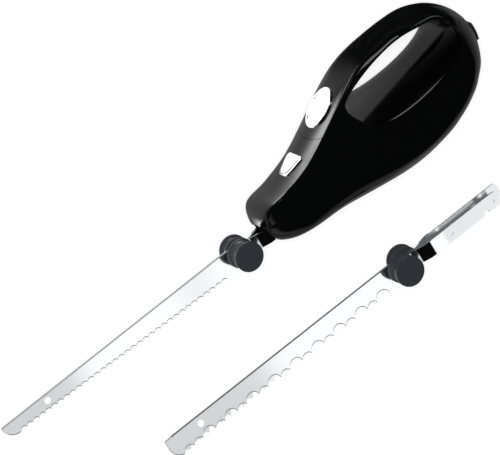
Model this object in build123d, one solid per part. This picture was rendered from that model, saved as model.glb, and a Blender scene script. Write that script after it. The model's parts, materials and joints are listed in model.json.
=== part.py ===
from build123d import *
import os
from math import atan2, cos, degrees, pi, radians, sin, sqrt
import numpy as np

os.makedirs("parts", exist_ok=True)

# An electric carving knife that lies on its right side, with its second pair of blades beside it.
# +X runs from the blade tips to the handle's rear, +Y from the teeth to the top of the handle, +Z up.
# Each piece is drawn about the knife's middle plane and then lifted, so that the side rests on z = 0.

# Driving dimensions of the body
body_length = 208.5
body_height = 100.5
body_half_width = 30.0
nose_x = -79.5
belly_y = -27.5
crease_half_width = 17.5
grip_half_width = 16.5
cover_depth = 3.2
fit_gap = 0.3
overrun = 5.0

# Inner places are given for a body of these sizes and keep their share of it
drawn_length = 208.5
drawn_height = 100.5


def place_x(*values):
    moved = tuple(nose_x + (x - nose_x) * body_length / drawn_length for x in values)
    return moved if len(moved) > 1 else moved[0]


def place_y(*values):
    moved = tuple(belly_y + (y - belly_y) * body_height / drawn_height for y in values)
    return moved if len(moved) > 1 else moved[0]


def sized(length):
    return length * body_height / drawn_height


# Side outline of the body, as shares of its length and height, from the nose over the top
outline_shares = [(0.0, 0.30), (0.028, 0.468), (0.109, 0.49), (0.246, 0.59), (0.428, 0.806),
                  (0.549, 0.934), (0.754, 1.0), (0.898, 0.915), (0.999, 0.551), (0.925, 0.229),
                  (0.779, 0.057), (0.536, 0.0), (0.253, 0.088), (0.063, 0.15)]
inset_samples = 42


def save(name, shape):
    export_step(Pos(0, 0, body_half_width) * shape, f"parts/{name}.step")


def block(x0, x1, y0, y1, z0, z1):
    return Pos((x0 + x1) / 2, (y0 + y1) / 2, (z0 + z1) / 2) * Box(x1 - x0, y1 - y0, z1 - z0)


def rod_z(x, y, z0, z1, radius):
    return Pos(x, y, (z0 + z1) / 2) * Cylinder(radius, z1 - z0)


def rod_x(x0, x1, y, z, radius):
    return Pos((x0 + x1) / 2, y, z) * (Rot(0, 90, 0) * Cylinder(radius, x1 - x0))


def plate(points, z0, z1):
    return Pos(0, 0, z0) * extrude(make_face(Polyline(*points, close=True)), amount=z1 - z0)


def flipped(shape):
    return mirror(shape, about=Plane.XY)


def outline_edge(inset=0.0):
    points = [(nose_x + a * body_length, belly_y + b * body_height) for a, b in outline_shares]
    edge = Spline(*points, periodic=True)
    if inset == 0:
        return edge
    moved = []
    for i in range(inset_samples):
        place = edge.position_at(i / inset_samples)
        along = edge.tangent_at(i / inset_samples)
        moved.append((place.X + along.Y * inset, place.Y - along.X * inset))
    return Spline(*moved, periodic=True)


def outline_prism(inset, z0, z1):
    return Pos(0, 0, z0) * extrude(make_face(outline_edge(inset)), amount=z1 - z0)


# Side surface: how far the skin stands from the middle plane at a place in the side view.
# It widens from the crease beside the top strip, rounds over the grip and rolls in to the belly.
front_flare_share = 0.42
grip_edge = 8.0
grip_roll = 10.0
grip_flare_share = 0.25
rear_fill = 10.0
rear_fill_roll = 6.0
deep_start = 30.0
deep_flare_share = 0.6
rear_flare_share = 0.6
belly_edge = 9.0
belly_roll = 24.0
side_crown = 4.0
nose_taper_share = 0.51
nose_round = 8.0
nose_end_share = 0.55
taper_start_x = place_x(45.0)
flare_blend_x = place_x(15.0, 75.0)
rear_fill_x = place_x(70.0, 110.0)
rear_blend_y = place_y(15.0, 50.0)
blend_power = 14
chain_samples = 500
least_width = 3.0


def ease(value, low, high):
    t = np.clip((value - low) / (high - low), 0, 1)
    return t * t * (3 - 2 * t)


def outline_chains():
    edge = outline_edge()
    spots = [edge.position_at(i / chain_samples) for i in range(chain_samples)]
    line = np.array([[p.X, p.Y] for p in spots])
    line = np.roll(line, -line[:, 0].argmin(), axis=0)
    rear = line[:, 0].argmax()
    return line[:rear + 1], np.vstack([line[rear:], line[:1]])


def depth_from(chain, x, y):
    reach = np.hypot(x[..., None] - chain[:, 0], y[..., None] - chain[:, 1])
    nearest = reach.argmin(-1)
    foot = chain[nearest]
    along = np.gradient(chain, axis=0)[nearest]
    side = (x - foot[..., 0]) * along[..., 1] - (y - foot[..., 1]) * along[..., 0]
    return reach.min(-1) * np.sign(side), foot


def rolled(depth, edge, full, reach):
    inside = np.sin(pi / 2 * np.clip(depth / reach, 0, 1))
    outside = np.maximum(depth / reach, -1) * pi / 2
    return edge + (full - edge) * np.where(depth < 0, outside, inside)


top_chain, low_chain = outline_chains()


def half_width(x, y):
    x, y = np.asarray(x, float), np.asarray(y, float)
    full = body_half_width + side_crown
    top_depth, top_foot = depth_from(top_chain, x, y)
    low_depth, low_foot = depth_from(low_chain, x, y)
    front = crease_half_width + front_flare_share * top_depth
    flare = grip_flare_share + rear_flare_share * (1 - ease(top_foot[..., 1], *rear_blend_y))
    fill = ease(top_foot[..., 0], *rear_fill_x)
    grip = rolled(top_depth, grip_edge, grip_half_width + rear_fill * fill, grip_roll + rear_fill_roll * fill)
    grip = grip + flare * np.maximum(top_depth - grip_roll, 0)
    grip = grip + deep_flare_share * np.maximum(top_depth - deep_start, 0)
    rear = ease(top_foot[..., 0], *flare_blend_x)
    top_width = front * (1 - rear) + grip * rear
    low_width = rolled(low_depth, belly_edge, full, belly_roll)
    back = np.maximum(taper_start_x - x, 0) / (taper_start_x - nose_x)
    plan = full * (1 - nose_taper_share * back ** 2)
    plan = plan * (nose_end_share + (1 - nose_end_share) * ease(x, nose_x - nose_round, nose_x + nose_round))
    widths = np.maximum(np.stack([top_width, low_width, plan]), least_width)
    return (widths ** -blend_power).sum(0) ** (-1 / blend_power)


def width_at(x, y):
    return float(half_width([x], [y])[0])


station_shares = [-0.05, 0.0, 0.045, 0.1, 0.17, 0.245, 0.32, 0.405, 0.49, 0.575, 0.66, 0.745, 0.82,
                  0.89, 0.945, 0.993, 1.05]
section_points = 15
section_margin = 8.5


def side_form():
    heights = np.linspace(belly_y - section_margin, belly_y + body_height + section_margin, section_points)
    sections = []
    for share in station_shares:
        x = nose_x + share * body_length
        widths = half_width(np.full(section_points, x), heights)
        skin = [(x, float(y), float(w)) for y, w in zip(heights, widths)]
        foot = [skin[-1], (x, float(heights[-1]), 0), (x, float(heights[0]), 0), skin[0]]
        sections.append(Wire([Spline(*skin)] + Polyline(*foot).edges()))
    return Solid.make_loft(sections)


# Handle opening: an oval that is smallest at the middle plane, so that its walls are rounded.
# A box for each of the two ovals: x from, x to, y from, y to
opening_shares = [(0.0, 0.60), (0.05, 0.22), (0.23, 0.035), (0.502, 0.0), (0.751, 0.10), (0.945, 0.345),
                  (1.0, 0.62), (0.94, 0.875), (0.70, 0.99), (0.368, 0.94), (0.12, 0.7625)]
opening_mid = place_x(20.0, 104.0) + place_y(40.5, 61.5)
opening_rim = place_x(11.0, 117.0) + place_y(16.5, 65.5)
opening_past = 2.0
opening_reach = body_half_width + opening_past
opening_wall = 3.0


def opening_edge(box, grow=0.0):
    x0, x1, y0, y1 = box[0] - grow, box[1] + grow, box[2] - grow, box[3] + grow
    return Spline(*[(x0 + a * (x1 - x0), y0 + b * (y1 - y0)) for a, b in opening_shares], periodic=True)


def handle_opening():
    rings = [(opening_rim, -opening_reach), (opening_mid, 0), (opening_rim, opening_reach)]
    return Solid.make_loft([Wire([Pos(0, 0, z) * opening_edge(box)]) for box, z in rings])


half_form = side_form() & outline_prism(0, 0, body_half_width)
half_body = half_form - handle_opening()

# Covers along the top: one over the nose, one over the whole handle, which meet at a curved seam
nose_cover_end_y = place_y(9.0)
top_cover_end_y = place_y(32.0)
cover_split_x = place_x(60.0)
seam_x = place_x(-16.0)
seam_radius = 43.0


def beyond(x0, x1, y0, y1):
    return block(x0, x1, y0, y1, -body_half_width - overrun, body_half_width + overrun)


top_limit = belly_y + body_height + overrun
rear_limit = nose_x + body_length + overrun
front_limit = nose_x - overrun
band = outline_prism(-overrun, -body_half_width, body_half_width)
band = band - outline_prism(cover_depth, -body_half_width - overrun, body_half_width + overrun)
cover_zone = beyond(front_limit, cover_split_x, nose_cover_end_y, top_limit)
cover_zone = cover_zone + beyond(cover_split_x, rear_limit, top_cover_end_y, top_limit)
cover_half = half_body & band & cover_zone
cover = cover_half + flipped(cover_half)


def seam_column(radius):
    stand = Cylinder(radius, body_height * 2)
    round_column = Pos(seam_x + seam_radius, 0, 0) * (Rot(90, 0, 0) * stand)
    return round_column + beyond(seam_x + seam_radius, rear_limit, belly_y - overrun, top_limit)


top_cover = cover & seam_column(seam_radius)
nose_cover = cover - seam_column(seam_radius + fit_gap)


# Places on the top line, with the slope there
def top_place(x):
    line = top_chain[np.argsort(top_chain[:, 0])]
    near = int(np.abs(line[:, 0] - x).argmin())
    rise = line[near + 3] - line[near - 3]
    slope = atan2(float(rise[1]), float(rise[0]))
    height = float(np.interp(x, line[:, 0], line[:, 1]))
    return Plane(origin=(x, height, 0), x_dir=(cos(slope), sin(slope), 0), z_dir=(-sin(slope), cos(slope), 0))


# Thumb switch: an oval chromed button with a flange under the cover
thumb_x = place_x(4.0)
thumb_half_length = 15.7
thumb_half_width = 13.0
thumb_gap = 0.5
thumb_proud = 1.4
thumb_edge_round = 1.0
thumb_flange = 1.6
thumb_flange_depth = 5.4
thumb_flange_thick = 1.6
thumb_travel = 2.5
thumb_stem_depth = 7.5
thumb_stem_radius = 3.0
thumb_stem_back = -2.0
thumb_plane = top_place(thumb_x)


def along(plane, shape, x=0.0, y=0.0, z=0.0):
    return plane.location * (Pos(x, y, z) * shape)


def oval(plane, half_length, half_width_, low, high):
    return along(plane, extrude(Ellipse(half_length, half_width_), amount=high - low), z=low)


thumb_cap = oval(thumb_plane, thumb_half_length, thumb_half_width, -thumb_flange_depth, thumb_proud)
thumb_cap = fillet([e for e in thumb_cap.edges() if e.is_closed
                    and thumb_plane.to_local_coords(e.center()).Z > 0], thumb_edge_round)
thumb_button = thumb_cap + oval(thumb_plane, thumb_half_length + thumb_flange, thumb_half_width + thumb_flange,
                                -thumb_flange_depth, thumb_flange_thick - thumb_flange_depth)
thumb_stem = Cylinder(thumb_stem_radius, thumb_stem_depth - thumb_flange_depth)
thumb_button = thumb_button + along(thumb_plane, thumb_stem, thumb_stem_back, 0,
                                    -(thumb_stem_depth + thumb_flange_depth) / 2)
flange_gap = 0.5
thumb_pocket = oval(thumb_plane, thumb_half_length + thumb_flange + flange_gap,
                    thumb_half_width + thumb_flange + flange_gap,
                    -thumb_flange_depth - thumb_travel - flange_gap, 0)
top_cover = top_cover - oval(thumb_plane, thumb_half_length + thumb_gap, thumb_half_width + thumb_gap,
                             -cover_depth * 2, cover_depth * 2)

# Release button: a raised chromed wedge, wide end to the rear
release_x = place_x(-36.0)
release_length = 18.0
release_wide = 21.0
release_narrow = 12.0
release_corner = 2.0
release_gap = 0.5
release_proud = 2.2
release_edge_round = 0.8
release_flange = 1.5
release_flange_depth = 5.4
release_flange_thick = 1.4
release_travel = 1.5
release_stem_half = 3.0
release_plane = top_place(release_x)


def wedge(grow, low, high):
    half = release_length / 2 + grow
    wide, narrow = release_wide / 2 + grow, release_narrow / 2 + grow
    face = make_face(Polyline((-half, -narrow), (half, -wide), (half, wide), (-half, narrow), close=True))
    return along(release_plane, extrude(fillet(face.vertices(), release_corner), amount=high - low), z=low)


release_cap = wedge(0, -release_flange_depth, release_proud)
release_rim = [e for e in release_cap.edges()
               if release_plane.to_local_coords(e.center()).Z > release_proud - release_edge_round / 2]
release_button = fillet(release_rim, release_edge_round)
release_button = release_button + wedge(release_flange, -release_flange_depth,
                                        release_flange_thick - release_flange_depth)
nose_cover = nose_cover - wedge(release_gap, -cover_depth * 2, cover_depth * 2)

# Blades: two thin plates back to back, each with a bent tang behind its guard.
# A set is drawn for one side, tip at -X, and mirrored for the other.
blade_gap = 0.1
blade_thick = 1.1
guard_x = -100.0
spine_y = 7.3
carving_tip_x = -315.5
bread_tip_x = -313.5
bread_spine_x = -311.5
edge_heel_x = -116.0
bevel_height = 5.0
bevel_edge_thick = 0.35
tang_low_y = place_y(-6.5)
tang_top_y = place_y(4.5)
tang_end_x = place_x(-14.0)
tang_offset = 4.5
tang_round = 3.0
bend_start_x = -89.0
bend_end_x = -78.0
tang_hole_xs = place_x(-57.0, -19.2)
tang_hole_y = place_y(-1.2)
tang_hole_radius = 1.5
notch_x = place_x(-27.0)
notch_width = 4.0
notch_depth = 2.5
carving_pin = (-276.4, 3.0)
bread_pin = (-284.2, 1.9)
press_gap = 0.02
rivet_radius = 1.4
rivet_head_radius = 2.3
rivet_head_thick = 0.5
rivet_slot_reach = 9.0

carving_edge_start = (-304.0, -3.7)
carving_edge_end = (-117.8, -10.6)
carving_teeth = 34
carving_scallop = 2.2
bread_edge_start = (-296.0, -9.3)
bread_edge_end = (-116.5, -9.9)
bread_pairs = 9
bread_short_share = 0.43
bread_deep = 5.4
bread_shallow = 3.0


def scalloped(start, end, marks, depths):
    """Round hollows between tooth points that lie on a straight line from start to end."""
    run = Vector(*end) - Vector(*start)
    into = Vector(-run.Y, run.X).normalized()
    points = [Vector(*start) + run * m for m in marks]
    arcs = []
    for low, high, depth in zip(points, points[1:], depths):
        arcs.append(ThreePointArc(low, (low + high) * 0.5 + into * depth, high))
    return arcs


def carving_outline():
    marks = [i / carving_teeth for i in range(carving_teeth + 1)]
    teeth = scalloped(carving_edge_start, carving_edge_end, marks, [carving_scallop] * carving_teeth)
    tip = ThreePointArc((carving_tip_x, spine_y), carving_nose, carving_edge_start)
    heel = Polyline(carving_edge_end, (edge_heel_x, carving_edge_end[1]), (guard_x, carving_edge_end[1] + heel_lift),
                    (guard_x, spine_y), (carving_tip_x, spine_y))
    return Wire([tip] + teeth + heel.edges())


def bread_outline():
    marks, depths = [0.0], []
    for i in range(bread_pairs):
        marks += [(i + bread_short_share) / bread_pairs, (i + 1) / bread_pairs]
        depths += [bread_shallow, bread_deep]
    teeth = scalloped(bread_edge_start, bread_edge_end, marks, depths)
    tip = [ThreePointArc((bread_spine_x, spine_y), bread_nose, bread_chin),
           ThreePointArc(bread_chin, bread_first_hollow, bread_edge_start)]
    heel = Polyline(bread_edge_end, (guard_x, bread_edge_end[1] + heel_lift), (guard_x, spine_y),
                    (bread_spine_x, spine_y))
    return Wire(tip + teeth + heel.edges())


carving_nose = (-313.0, 0.2)
heel_lift = 1.5
bread_nose = (-313.4, -0.6)
bread_chin = (-305.1, -9.8)
bread_first_hollow = (-300.9, -6.2)


def leaf_profile(tip_x, grow=0.0, from_x=None, to_x=None):
    """Plan section of one blade: flat, then bent out to the tang's distance."""
    low, high = blade_gap - grow, blade_gap + blade_thick + grow
    step = tang_offset - blade_gap
    x0 = tip_x if from_x is None else from_x
    x1 = tang_end_x if to_x is None else to_x
    slope = step / (bend_end_x - bend_start_x)
    if x0 < bend_start_x:
        start = [(x0, low), (bend_start_x, low)], [(bend_start_x, high), (x0, high)]
    else:
        rise = slope * (x0 - bend_start_x)
        start = [(x0, low + rise)], [(x0, high + rise)]
    points = start[0] + [(bend_end_x, low + step), (x1, low + step), (x1, high + step),
                         (bend_end_x, high + step)] + start[1]
    return points


def leaf(points):
    face = make_face(Polyline(*points, close=True))
    return Pos(0, body_height / 2, 0) * (Rot(90, 0, 0) * extrude(face, amount=body_height))


def tang_side():
    tang = Rectangle(tang_end_x - guard_x, tang_top_y - tang_low_y)
    tang = Pos((tang_end_x + guard_x) / 2, (tang_top_y + tang_low_y) / 2) * tang
    tang = fillet(tang.vertices().sort_by(Axis.X)[-2:], tang_round)
    for x in tang_hole_xs:
        tang = tang - Pos(x, tang_hole_y) * Circle(tang_hole_radius)
    return tang - Pos(notch_x, tang_low_y) * Rectangle(notch_width, notch_depth * 2)


def blade(outline, tip_x, edge_start, edge_end, pin, pin_side):
    side = extrude(make_face(outline), amount=body_half_width) + extrude(tang_side(), amount=body_half_width)
    body = side & leaf(leaf_profile(tip_x))
    run = Vector(*edge_end) - Vector(*edge_start)
    tilt = degrees(atan2(run.Y, run.X))
    middle = (Vector(*edge_start) + Vector(*edge_end)) * 0.5
    face_z = blade_gap + blade_thick
    fall = blade_thick - bevel_edge_thick
    ground = make_face(Polyline((-overrun, fall * -(1 + overrun / bevel_height)), (bevel_height, 0),
                                (bevel_height, overrun), (-overrun, overrun), close=True))
    grind = Rot(0, 0, tilt) * (Plane.YZ * extrude(ground, amount=run.length, both=True))
    reach = block(tip_x - overrun, edge_heel_x, belly_y * 2, top_limit, 0, body_half_width)
    body = body - ((Pos(middle.X, middle.Y, face_z) * grind) & reach)
    if pin_side:
        return body - rod_z(*pin, 0, body_half_width, rivet_radius + press_gap)
    slot = SlotCenterToCenter(rivet_slot_reach * 2, (rivet_radius + fit_gap) * 2)
    return body - Pos(*pin, 0) * extrude(slot, amount=body_half_width)


# Guards: one moulded half on each blade, a disc at each end of a waisted core
guard_half_depth = 13.0
guard_radius = 11.0
guard_disc_thick = 2.4
guard_edge = 0.5
guard_core_radius = 9.0
guard_flange_radius = 10.8
guard_flange_thick = 1.8
guard_start_z = blade_gap + blade_thick


def guard():
    disc = rod_z(guard_x, 0, guard_half_depth - guard_disc_thick, guard_half_depth, guard_radius)
    disc = chamfer(disc.edges().filter_by(GeomType.CIRCLE), guard_edge)
    flange_z = guard_start_z + guard_flange_thick
    disc_z = guard_half_depth - guard_disc_thick
    waist = ThreePointArc((guard_flange_radius, flange_z), (guard_core_radius, (flange_z + disc_z) / 2),
                          (guard_radius - guard_edge, disc_z))
    edge = Polyline((guard_radius - guard_edge, disc_z), (0, disc_z), (0, guard_start_z),
                    (guard_flange_radius, guard_start_z), (guard_flange_radius, flange_z))
    section = Plane.XZ * make_face(Wire([waist] + edge.edges()))
    return disc + Pos(guard_x, 0, 0) * revolve(section, Axis.Z)


# Sleeves: a black pad moulded on the outer face of each tang where it enters the handle
sleeve_x = (-87.0, -74.0)
sleeve_y = (tang_low_y + fit_gap, tang_top_y)


def sleeve():
    pad = Pos(0, 0, blade_thick) * leaf(leaf_profile(carving_tip_x, 0, *sleeve_x))
    return pad & block(*sleeve_x, *sleeve_y, 0, body_half_width)


def rivet(pin):
    face = blade_gap + blade_thick
    far_face = -face - fit_gap
    shank = rod_z(*pin, far_face, face, rivet_radius)
    head = rod_z(*pin, face, face + rivet_head_thick, rivet_head_radius)
    far_head = rod_z(*pin, far_face - rivet_head_thick, far_face, rivet_head_radius)
    return shank + head + far_head


spare_x = 100.4
spare_y = -94.8
spare_shift = 6.0
spare_z = guard_half_depth - body_half_width


def blade_set(prefix, outline, tip_x, edge_start, edge_end, pin, place, slide):
    left = blade(outline, tip_x, edge_start, edge_end, pin, True)
    right = flipped(blade(outline, tip_x, edge_start, edge_end, pin, False))
    cap = sleeve()
    left_cap = cap - left
    right_cap = flipped(cap) - right
    save(f"{prefix}_blade_left", place * left)
    save(f"{prefix}_blade_right", place * slide * right)
    save(f"{prefix}_guard_left", place * guard())
    save(f"{prefix}_guard_right", place * slide * flipped(guard()))
    save(f"{prefix}_sleeve_left", place * left_cap)
    save(f"{prefix}_sleeve_right", place * slide * right_cap)
    save(f"{prefix}_rivet", place * rivet(pin))


blade_set("carving", carving_outline(), carving_tip_x, carving_edge_start, carving_edge_end, carving_pin,
          Pos(0, 0, 0), Pos(0, 0, 0))
blade_set("bread", bread_outline(), bread_tip_x, bread_edge_start, bread_edge_end, bread_pin,
          Pos(spare_x, spare_y, spare_z), Pos(spare_shift, 0, 0))

# Drive: a worm on the motor shaft turns a wheel with two eccentrics, half a turn apart
wheel_x = place_x(8.0)
wheel_y = place_y(14.0)
gear_module = 1.0
wheel_teeth = 24
wheel_half_thick = 4.0
rim_half_thick = 2.5
hub_radius = 7.0
wheel_bore_gap = 0.05
worm_pitch_radius = 4.5
addendum_share = 0.8
dedendum_share = 1.2
tooth_half_share = 0.6
flank_angle = 20.0
eccentricity = 4.0
eccentric_radius = 7.5
eccentric_end_z = 9.4
axle_radius = 2.5
wheel_radius = gear_module * wheel_teeth / 2
shaft_y = wheel_y - wheel_radius - worm_pitch_radius
shaft_radius = 1.6


def tooth_half(height):
    return gear_module * tooth_half_share - height * sin(radians(flank_angle)) / cos(radians(flank_angle))


tooth_top = gear_module * addendum_share
tooth_root = -gear_module * dedendum_share
root_radius = wheel_radius + tooth_root
tooth = make_face(Polyline((root_radius - tooth_top, -tooth_half(tooth_root)),
                           (wheel_radius + tooth_top, -tooth_half(tooth_top)),
                           (wheel_radius + tooth_top, tooth_half(tooth_top)),
                           (root_radius - tooth_top, tooth_half(tooth_root)), close=True))
rim = Circle(root_radius)
for i in range(wheel_teeth):
    rim = rim + Rot(0, 0, 360 * i / wheel_teeth) * tooth
drive_wheel = Pos(wheel_x, wheel_y, -rim_half_thick) * extrude(rim, amount=rim_half_thick * 2)
drive_wheel = drive_wheel + rod_z(wheel_x, wheel_y, -wheel_half_thick, wheel_half_thick, hub_radius)
drive_wheel = drive_wheel - rod_z(wheel_x, wheel_y, -wheel_half_thick, wheel_half_thick, axle_radius + wheel_bore_gap)
bore = rod_z(wheel_x, wheel_y, -body_half_width, body_half_width, axle_radius + wheel_bore_gap)
eccentric_left = rod_z(wheel_x, wheel_y + eccentricity, wheel_half_thick, eccentric_end_z, eccentric_radius) - bore
eccentric_right = rod_z(wheel_x, wheel_y - eccentricity, -eccentric_end_z, -wheel_half_thick, eccentric_radius) - bore

worm_pitch = pi * gear_module
worm_turns = 4.0
worm_root = worm_pitch_radius + tooth_root
worm_length = worm_pitch * worm_turns
worm_end = 1.0
thread_sink = 0.3
thread_face = make_face(Polyline((worm_root - thread_sink, -tooth_half(tooth_root - thread_sink)),
                                 (worm_pitch_radius + tooth_top, -tooth_half(tooth_top)),
                                 (worm_pitch_radius + tooth_top, tooth_half(tooth_top)),
                                 (worm_root - thread_sink, tooth_half(tooth_root - thread_sink)), close=True))
thread_path = Helix(worm_pitch, worm_length, worm_pitch_radius)
thread = sweep(Plane.XZ * thread_face, path=thread_path, is_frenet=True)
worm_x0 = wheel_x - worm_pitch * (worm_turns / 2 + 1 / 4)
thread = Pos(worm_x0 + worm_pitch / 2, shaft_y, 0) * (Rot(0, 90, 0) * thread)
worm_core = rod_x(worm_x0 - worm_end, worm_x0 + worm_pitch + worm_length + worm_end, shaft_y, 0, worm_root)
worm = (thread + worm_core) - rod_x(-body_length, rear_limit, shaft_y, 0, shaft_radius)

save("drive_wheel", drive_wheel)
save("eccentric_left", eccentric_left)
save("eccentric_right", eccentric_right)
save("worm", worm)

# Gearbox: two side plates and a floor carry the wheel's axle and guide the blade carriers
plate_inner_z = 10.0
plate_thick = 2.3
gearbox_front_x = place_x(-59.0)
gearbox_rear_x = place_x(25.0)
gearbox_low_y = place_y(-9.3)
gearbox_floor_thick = 1.2
plate_front_y = place_y(8.0)
plate_rise_x = place_x(-14.0)
plate_rear_y = place_y(22.0)
latch_x = place_x(-32.0)
latch_y = place_y(12.5)
latch_pin_radius = 1.4
latch_ear = 4.0

plate_outline = [(gearbox_front_x, gearbox_low_y), (gearbox_rear_x, gearbox_low_y), (gearbox_rear_x, plate_rear_y),
                 (plate_rise_x + plate_rear_y - plate_front_y, plate_rear_y), (plate_rise_x, plate_front_y),
                 (gearbox_front_x, plate_front_y)]
side_plate = plate(plate_outline, plate_inner_z, plate_inner_z + plate_thick)
side_plate = side_plate + rod_z(latch_x, latch_y, plate_inner_z, plate_inner_z + plate_thick, latch_ear)
side_plate = side_plate + block(latch_x - latch_ear, latch_x + latch_ear, 0, latch_y, plate_inner_z,
                                plate_inner_z + plate_thick)
side_plate = side_plate - rod_z(latch_x, latch_y, 0, body_half_width, latch_pin_radius)
side_plate = side_plate - rod_z(wheel_x, wheel_y, 0, body_half_width, axle_radius)
gearbox_floor = block(gearbox_front_x, gearbox_rear_x, gearbox_low_y - gearbox_floor_thick, gearbox_low_y,
                      -plate_inner_z - plate_thick, plate_inner_z + plate_thick)
wheel_axle = rod_z(wheel_x, wheel_y, -plate_inner_z - plate_thick, plate_inner_z + plate_thick, axle_radius)
latch_pin = rod_z(latch_x, latch_y, -plate_inner_z - plate_thick, plate_inner_z + plate_thick, latch_pin_radius)

save("gearbox_plate_left", side_plate)
save("gearbox_plate_right", flipped(side_plate))
save("gearbox_floor", gearbox_floor)
save("wheel_axle", wheel_axle)
save("latch_pin", latch_pin)

# Worm bearing: a pedestal on the gearbox floor with a bronze bush
pedestal_x = place_x(-4.6, -0.6)
pedestal_half_width = 5.2
bush_radius = 3.0
shaft_gap = 0.05
pedestal_top_y = shaft_y + bush_radius + shaft_radius
pedestal = block(*pedestal_x, gearbox_low_y, pedestal_top_y, -pedestal_half_width, pedestal_half_width)
pedestal = pedestal - rod_x(*pedestal_x, shaft_y, 0, bush_radius)
worm_bush = rod_x(*pedestal_x, shaft_y, 0, bush_radius) - rod_x(*pedestal_x, shaft_y, 0, shaft_radius + shaft_gap)
save("worm_pedestal", pedestal)
save("worm_bush", worm_bush)

# Blade carriers: a socket for the tang and a yoke round the eccentric
carrier_x = place_x(-61.5, -9.8)
carrier_y = place_y(-9.0, 7.0)
carrier_z = (0.6, 9.6)
tang_play = 0.3
yoke_z = (6.2, 9.2)
yoke_half_width = 11.5
yoke_top_y = place_y(28.0)
yoke_play = 1.2
yoke_slot_margin = 0.6
latch_window_x = place_x(-34.0, -18.0)


def carrier(eccentric_y):
    body = block(*carrier_x, *carrier_y, *carrier_z)
    body = body - block(carrier_x[0] - overrun, tang_end_x + tang_play, tang_low_y - tang_play,
                        tang_top_y + tang_play, tang_offset - tang_play, tang_offset + blade_thick + tang_play)
    body = body - block(*latch_window_x, tang_top_y, carrier_y[1] + overrun, tang_offset - tang_play,
                        tang_offset + blade_thick + tang_play)
    arm = block(carrier_x[1], wheel_x + yoke_half_width, carrier_y[0], yoke_top_y, *yoke_z)
    slot_low = min(eccentric_y, wheel_y) - eccentric_radius - yoke_slot_margin
    slot_high = max(eccentric_y, wheel_y) + eccentric_radius + yoke_slot_margin
    slot = eccentric_radius + yoke_play
    arm = arm - block(wheel_x - slot, wheel_x + slot, slot_low, slot_high, 0, body_half_width)
    return body + arm


save("carrier_left", carrier(wheel_y + eccentricity))
save("carrier_right", flipped(carrier(wheel_y - eccentricity)))

# Latch lever: rocks on its pin when the release button is pressed
latch_thick = 3.0
latch_half_width = 6.6
latch_nose = (place_x(-25.0), place_y(7.9))
latch_tail = (place_x(-41.0), place_y(15.5))
latch_points = [(latch_tail[0], latch_tail[1] + latch_thick / 2), (latch_tail[0], latch_tail[1] - latch_thick / 2),
                (latch_x, latch_y - latch_thick), (latch_nose[0], latch_nose[1] - latch_thick / 5),
                (latch_nose[0] + latch_thick, latch_nose[1] - latch_thick / 5),
                (latch_nose[0] + latch_thick, latch_nose[1] + latch_thick), (latch_x, latch_y + latch_thick)]
latch_lever = plate(latch_points, -latch_half_width, latch_half_width)
latch_lever = latch_lever - rod_z(latch_x, latch_y, -body_half_width, body_half_width, latch_pin_radius + shaft_gap)
save("latch_lever", latch_lever)

# Stem of the release button ends just above the lever's tail
release_stem_y = latch_tail[1] + latch_thick / 2 + fit_gap
release_stem = block(latch_tail[0], latch_tail[0] + release_stem_half, release_stem_y, release_stem_y + release_stem_half * 2,
                     -release_stem_half, release_stem_half)
release_button = release_button + release_stem
save("release_button", release_button)
save("thumb_button", thumb_button)

# Motor: a flat-ended can with magnets, armature, commutator and brushes
motor_x = place_x(28.0, 78.0)
motor_radius = sized(16.2)
motor_wall = 1.4
motor_end_thick = 4.0
boss_radius = 5.0
boss_length = 3.0
magnet_thick = sized(3.0)
magnet_span = 130.0
armature_radius = sized(11.2)
armature_x = place_x(34.0, 62.0)
armature_slots = 5
slot_width = 3.2
slot_depth = 5.0
commutator_x = place_x(65.0, 72.0)
commutator_radius = 4.5
brush_size = 4.0
brush_reach = 9.0
holder_gap = 1.0
holder_wall = 2.0
shaft_x = place_x(-5.0, 76.0)

can = rod_x(motor_x[0], motor_x[1] - motor_end_thick, shaft_y, 0, motor_radius)
can = can - rod_x(motor_x[0] + motor_wall, motor_x[1], shaft_y, 0, motor_radius - motor_wall)
can = can + rod_x(motor_x[0] - boss_length, motor_x[0] + motor_wall, shaft_y, 0, boss_radius)
can = can - rod_x(motor_x[0] - overrun, motor_x[0] + overrun, shaft_y, 0, bush_radius)
front_bush = rod_x(motor_x[0] - boss_length, motor_x[0] + motor_wall, shaft_y, 0, bush_radius)
front_bush = front_bush - rod_x(motor_x[0] - overrun, motor_x[0] + overrun, shaft_y, 0, shaft_radius + shaft_gap)
end_cap = rod_x(motor_x[1] - motor_end_thick, motor_x[1], shaft_y, 0, motor_radius)
end_cap = end_cap - rod_x(motor_x[1] - overrun, motor_x[1] - motor_end_thick / 3, shaft_y, 0, bush_radius)
rear_bush = rod_x(motor_x[1] - motor_end_thick, motor_x[1] - motor_end_thick / 3, shaft_y, 0, bush_radius)
rear_bush = rear_bush - rod_x(motor_x[1] - overrun, motor_x[1], shaft_y, 0, shaft_radius + shaft_gap)
shell_ring = rod_x(*armature_x, shaft_y, 0, motor_radius - motor_wall)
shell_ring = shell_ring - rod_x(*armature_x, shaft_y, 0, motor_radius - motor_wall - magnet_thick)
magnet_gap = (motor_radius - magnet_thick) * (180 - magnet_span) / 180
magnets = shell_ring - block(*armature_x, shaft_y - magnet_gap, shaft_y + magnet_gap, -motor_radius, motor_radius)
core = rod_x(*armature_x, shaft_y, 0, armature_radius) - rod_x(*armature_x, shaft_y, 0, shaft_radius)
for i in range(armature_slots):
    cutter = block(*armature_x, armature_radius - slot_depth, armature_radius + overrun, -slot_width / 2, slot_width / 2)
    core = core - Pos(0, shaft_y, 0) * (Rot(360 * i / armature_slots, 0, 0) * cutter)
commutator = rod_x(*commutator_x, shaft_y, 0, commutator_radius) - rod_x(*commutator_x, shaft_y, 0, shaft_radius)
motor_shaft = rod_x(*shaft_x, shaft_y, 0, shaft_radius)
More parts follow.
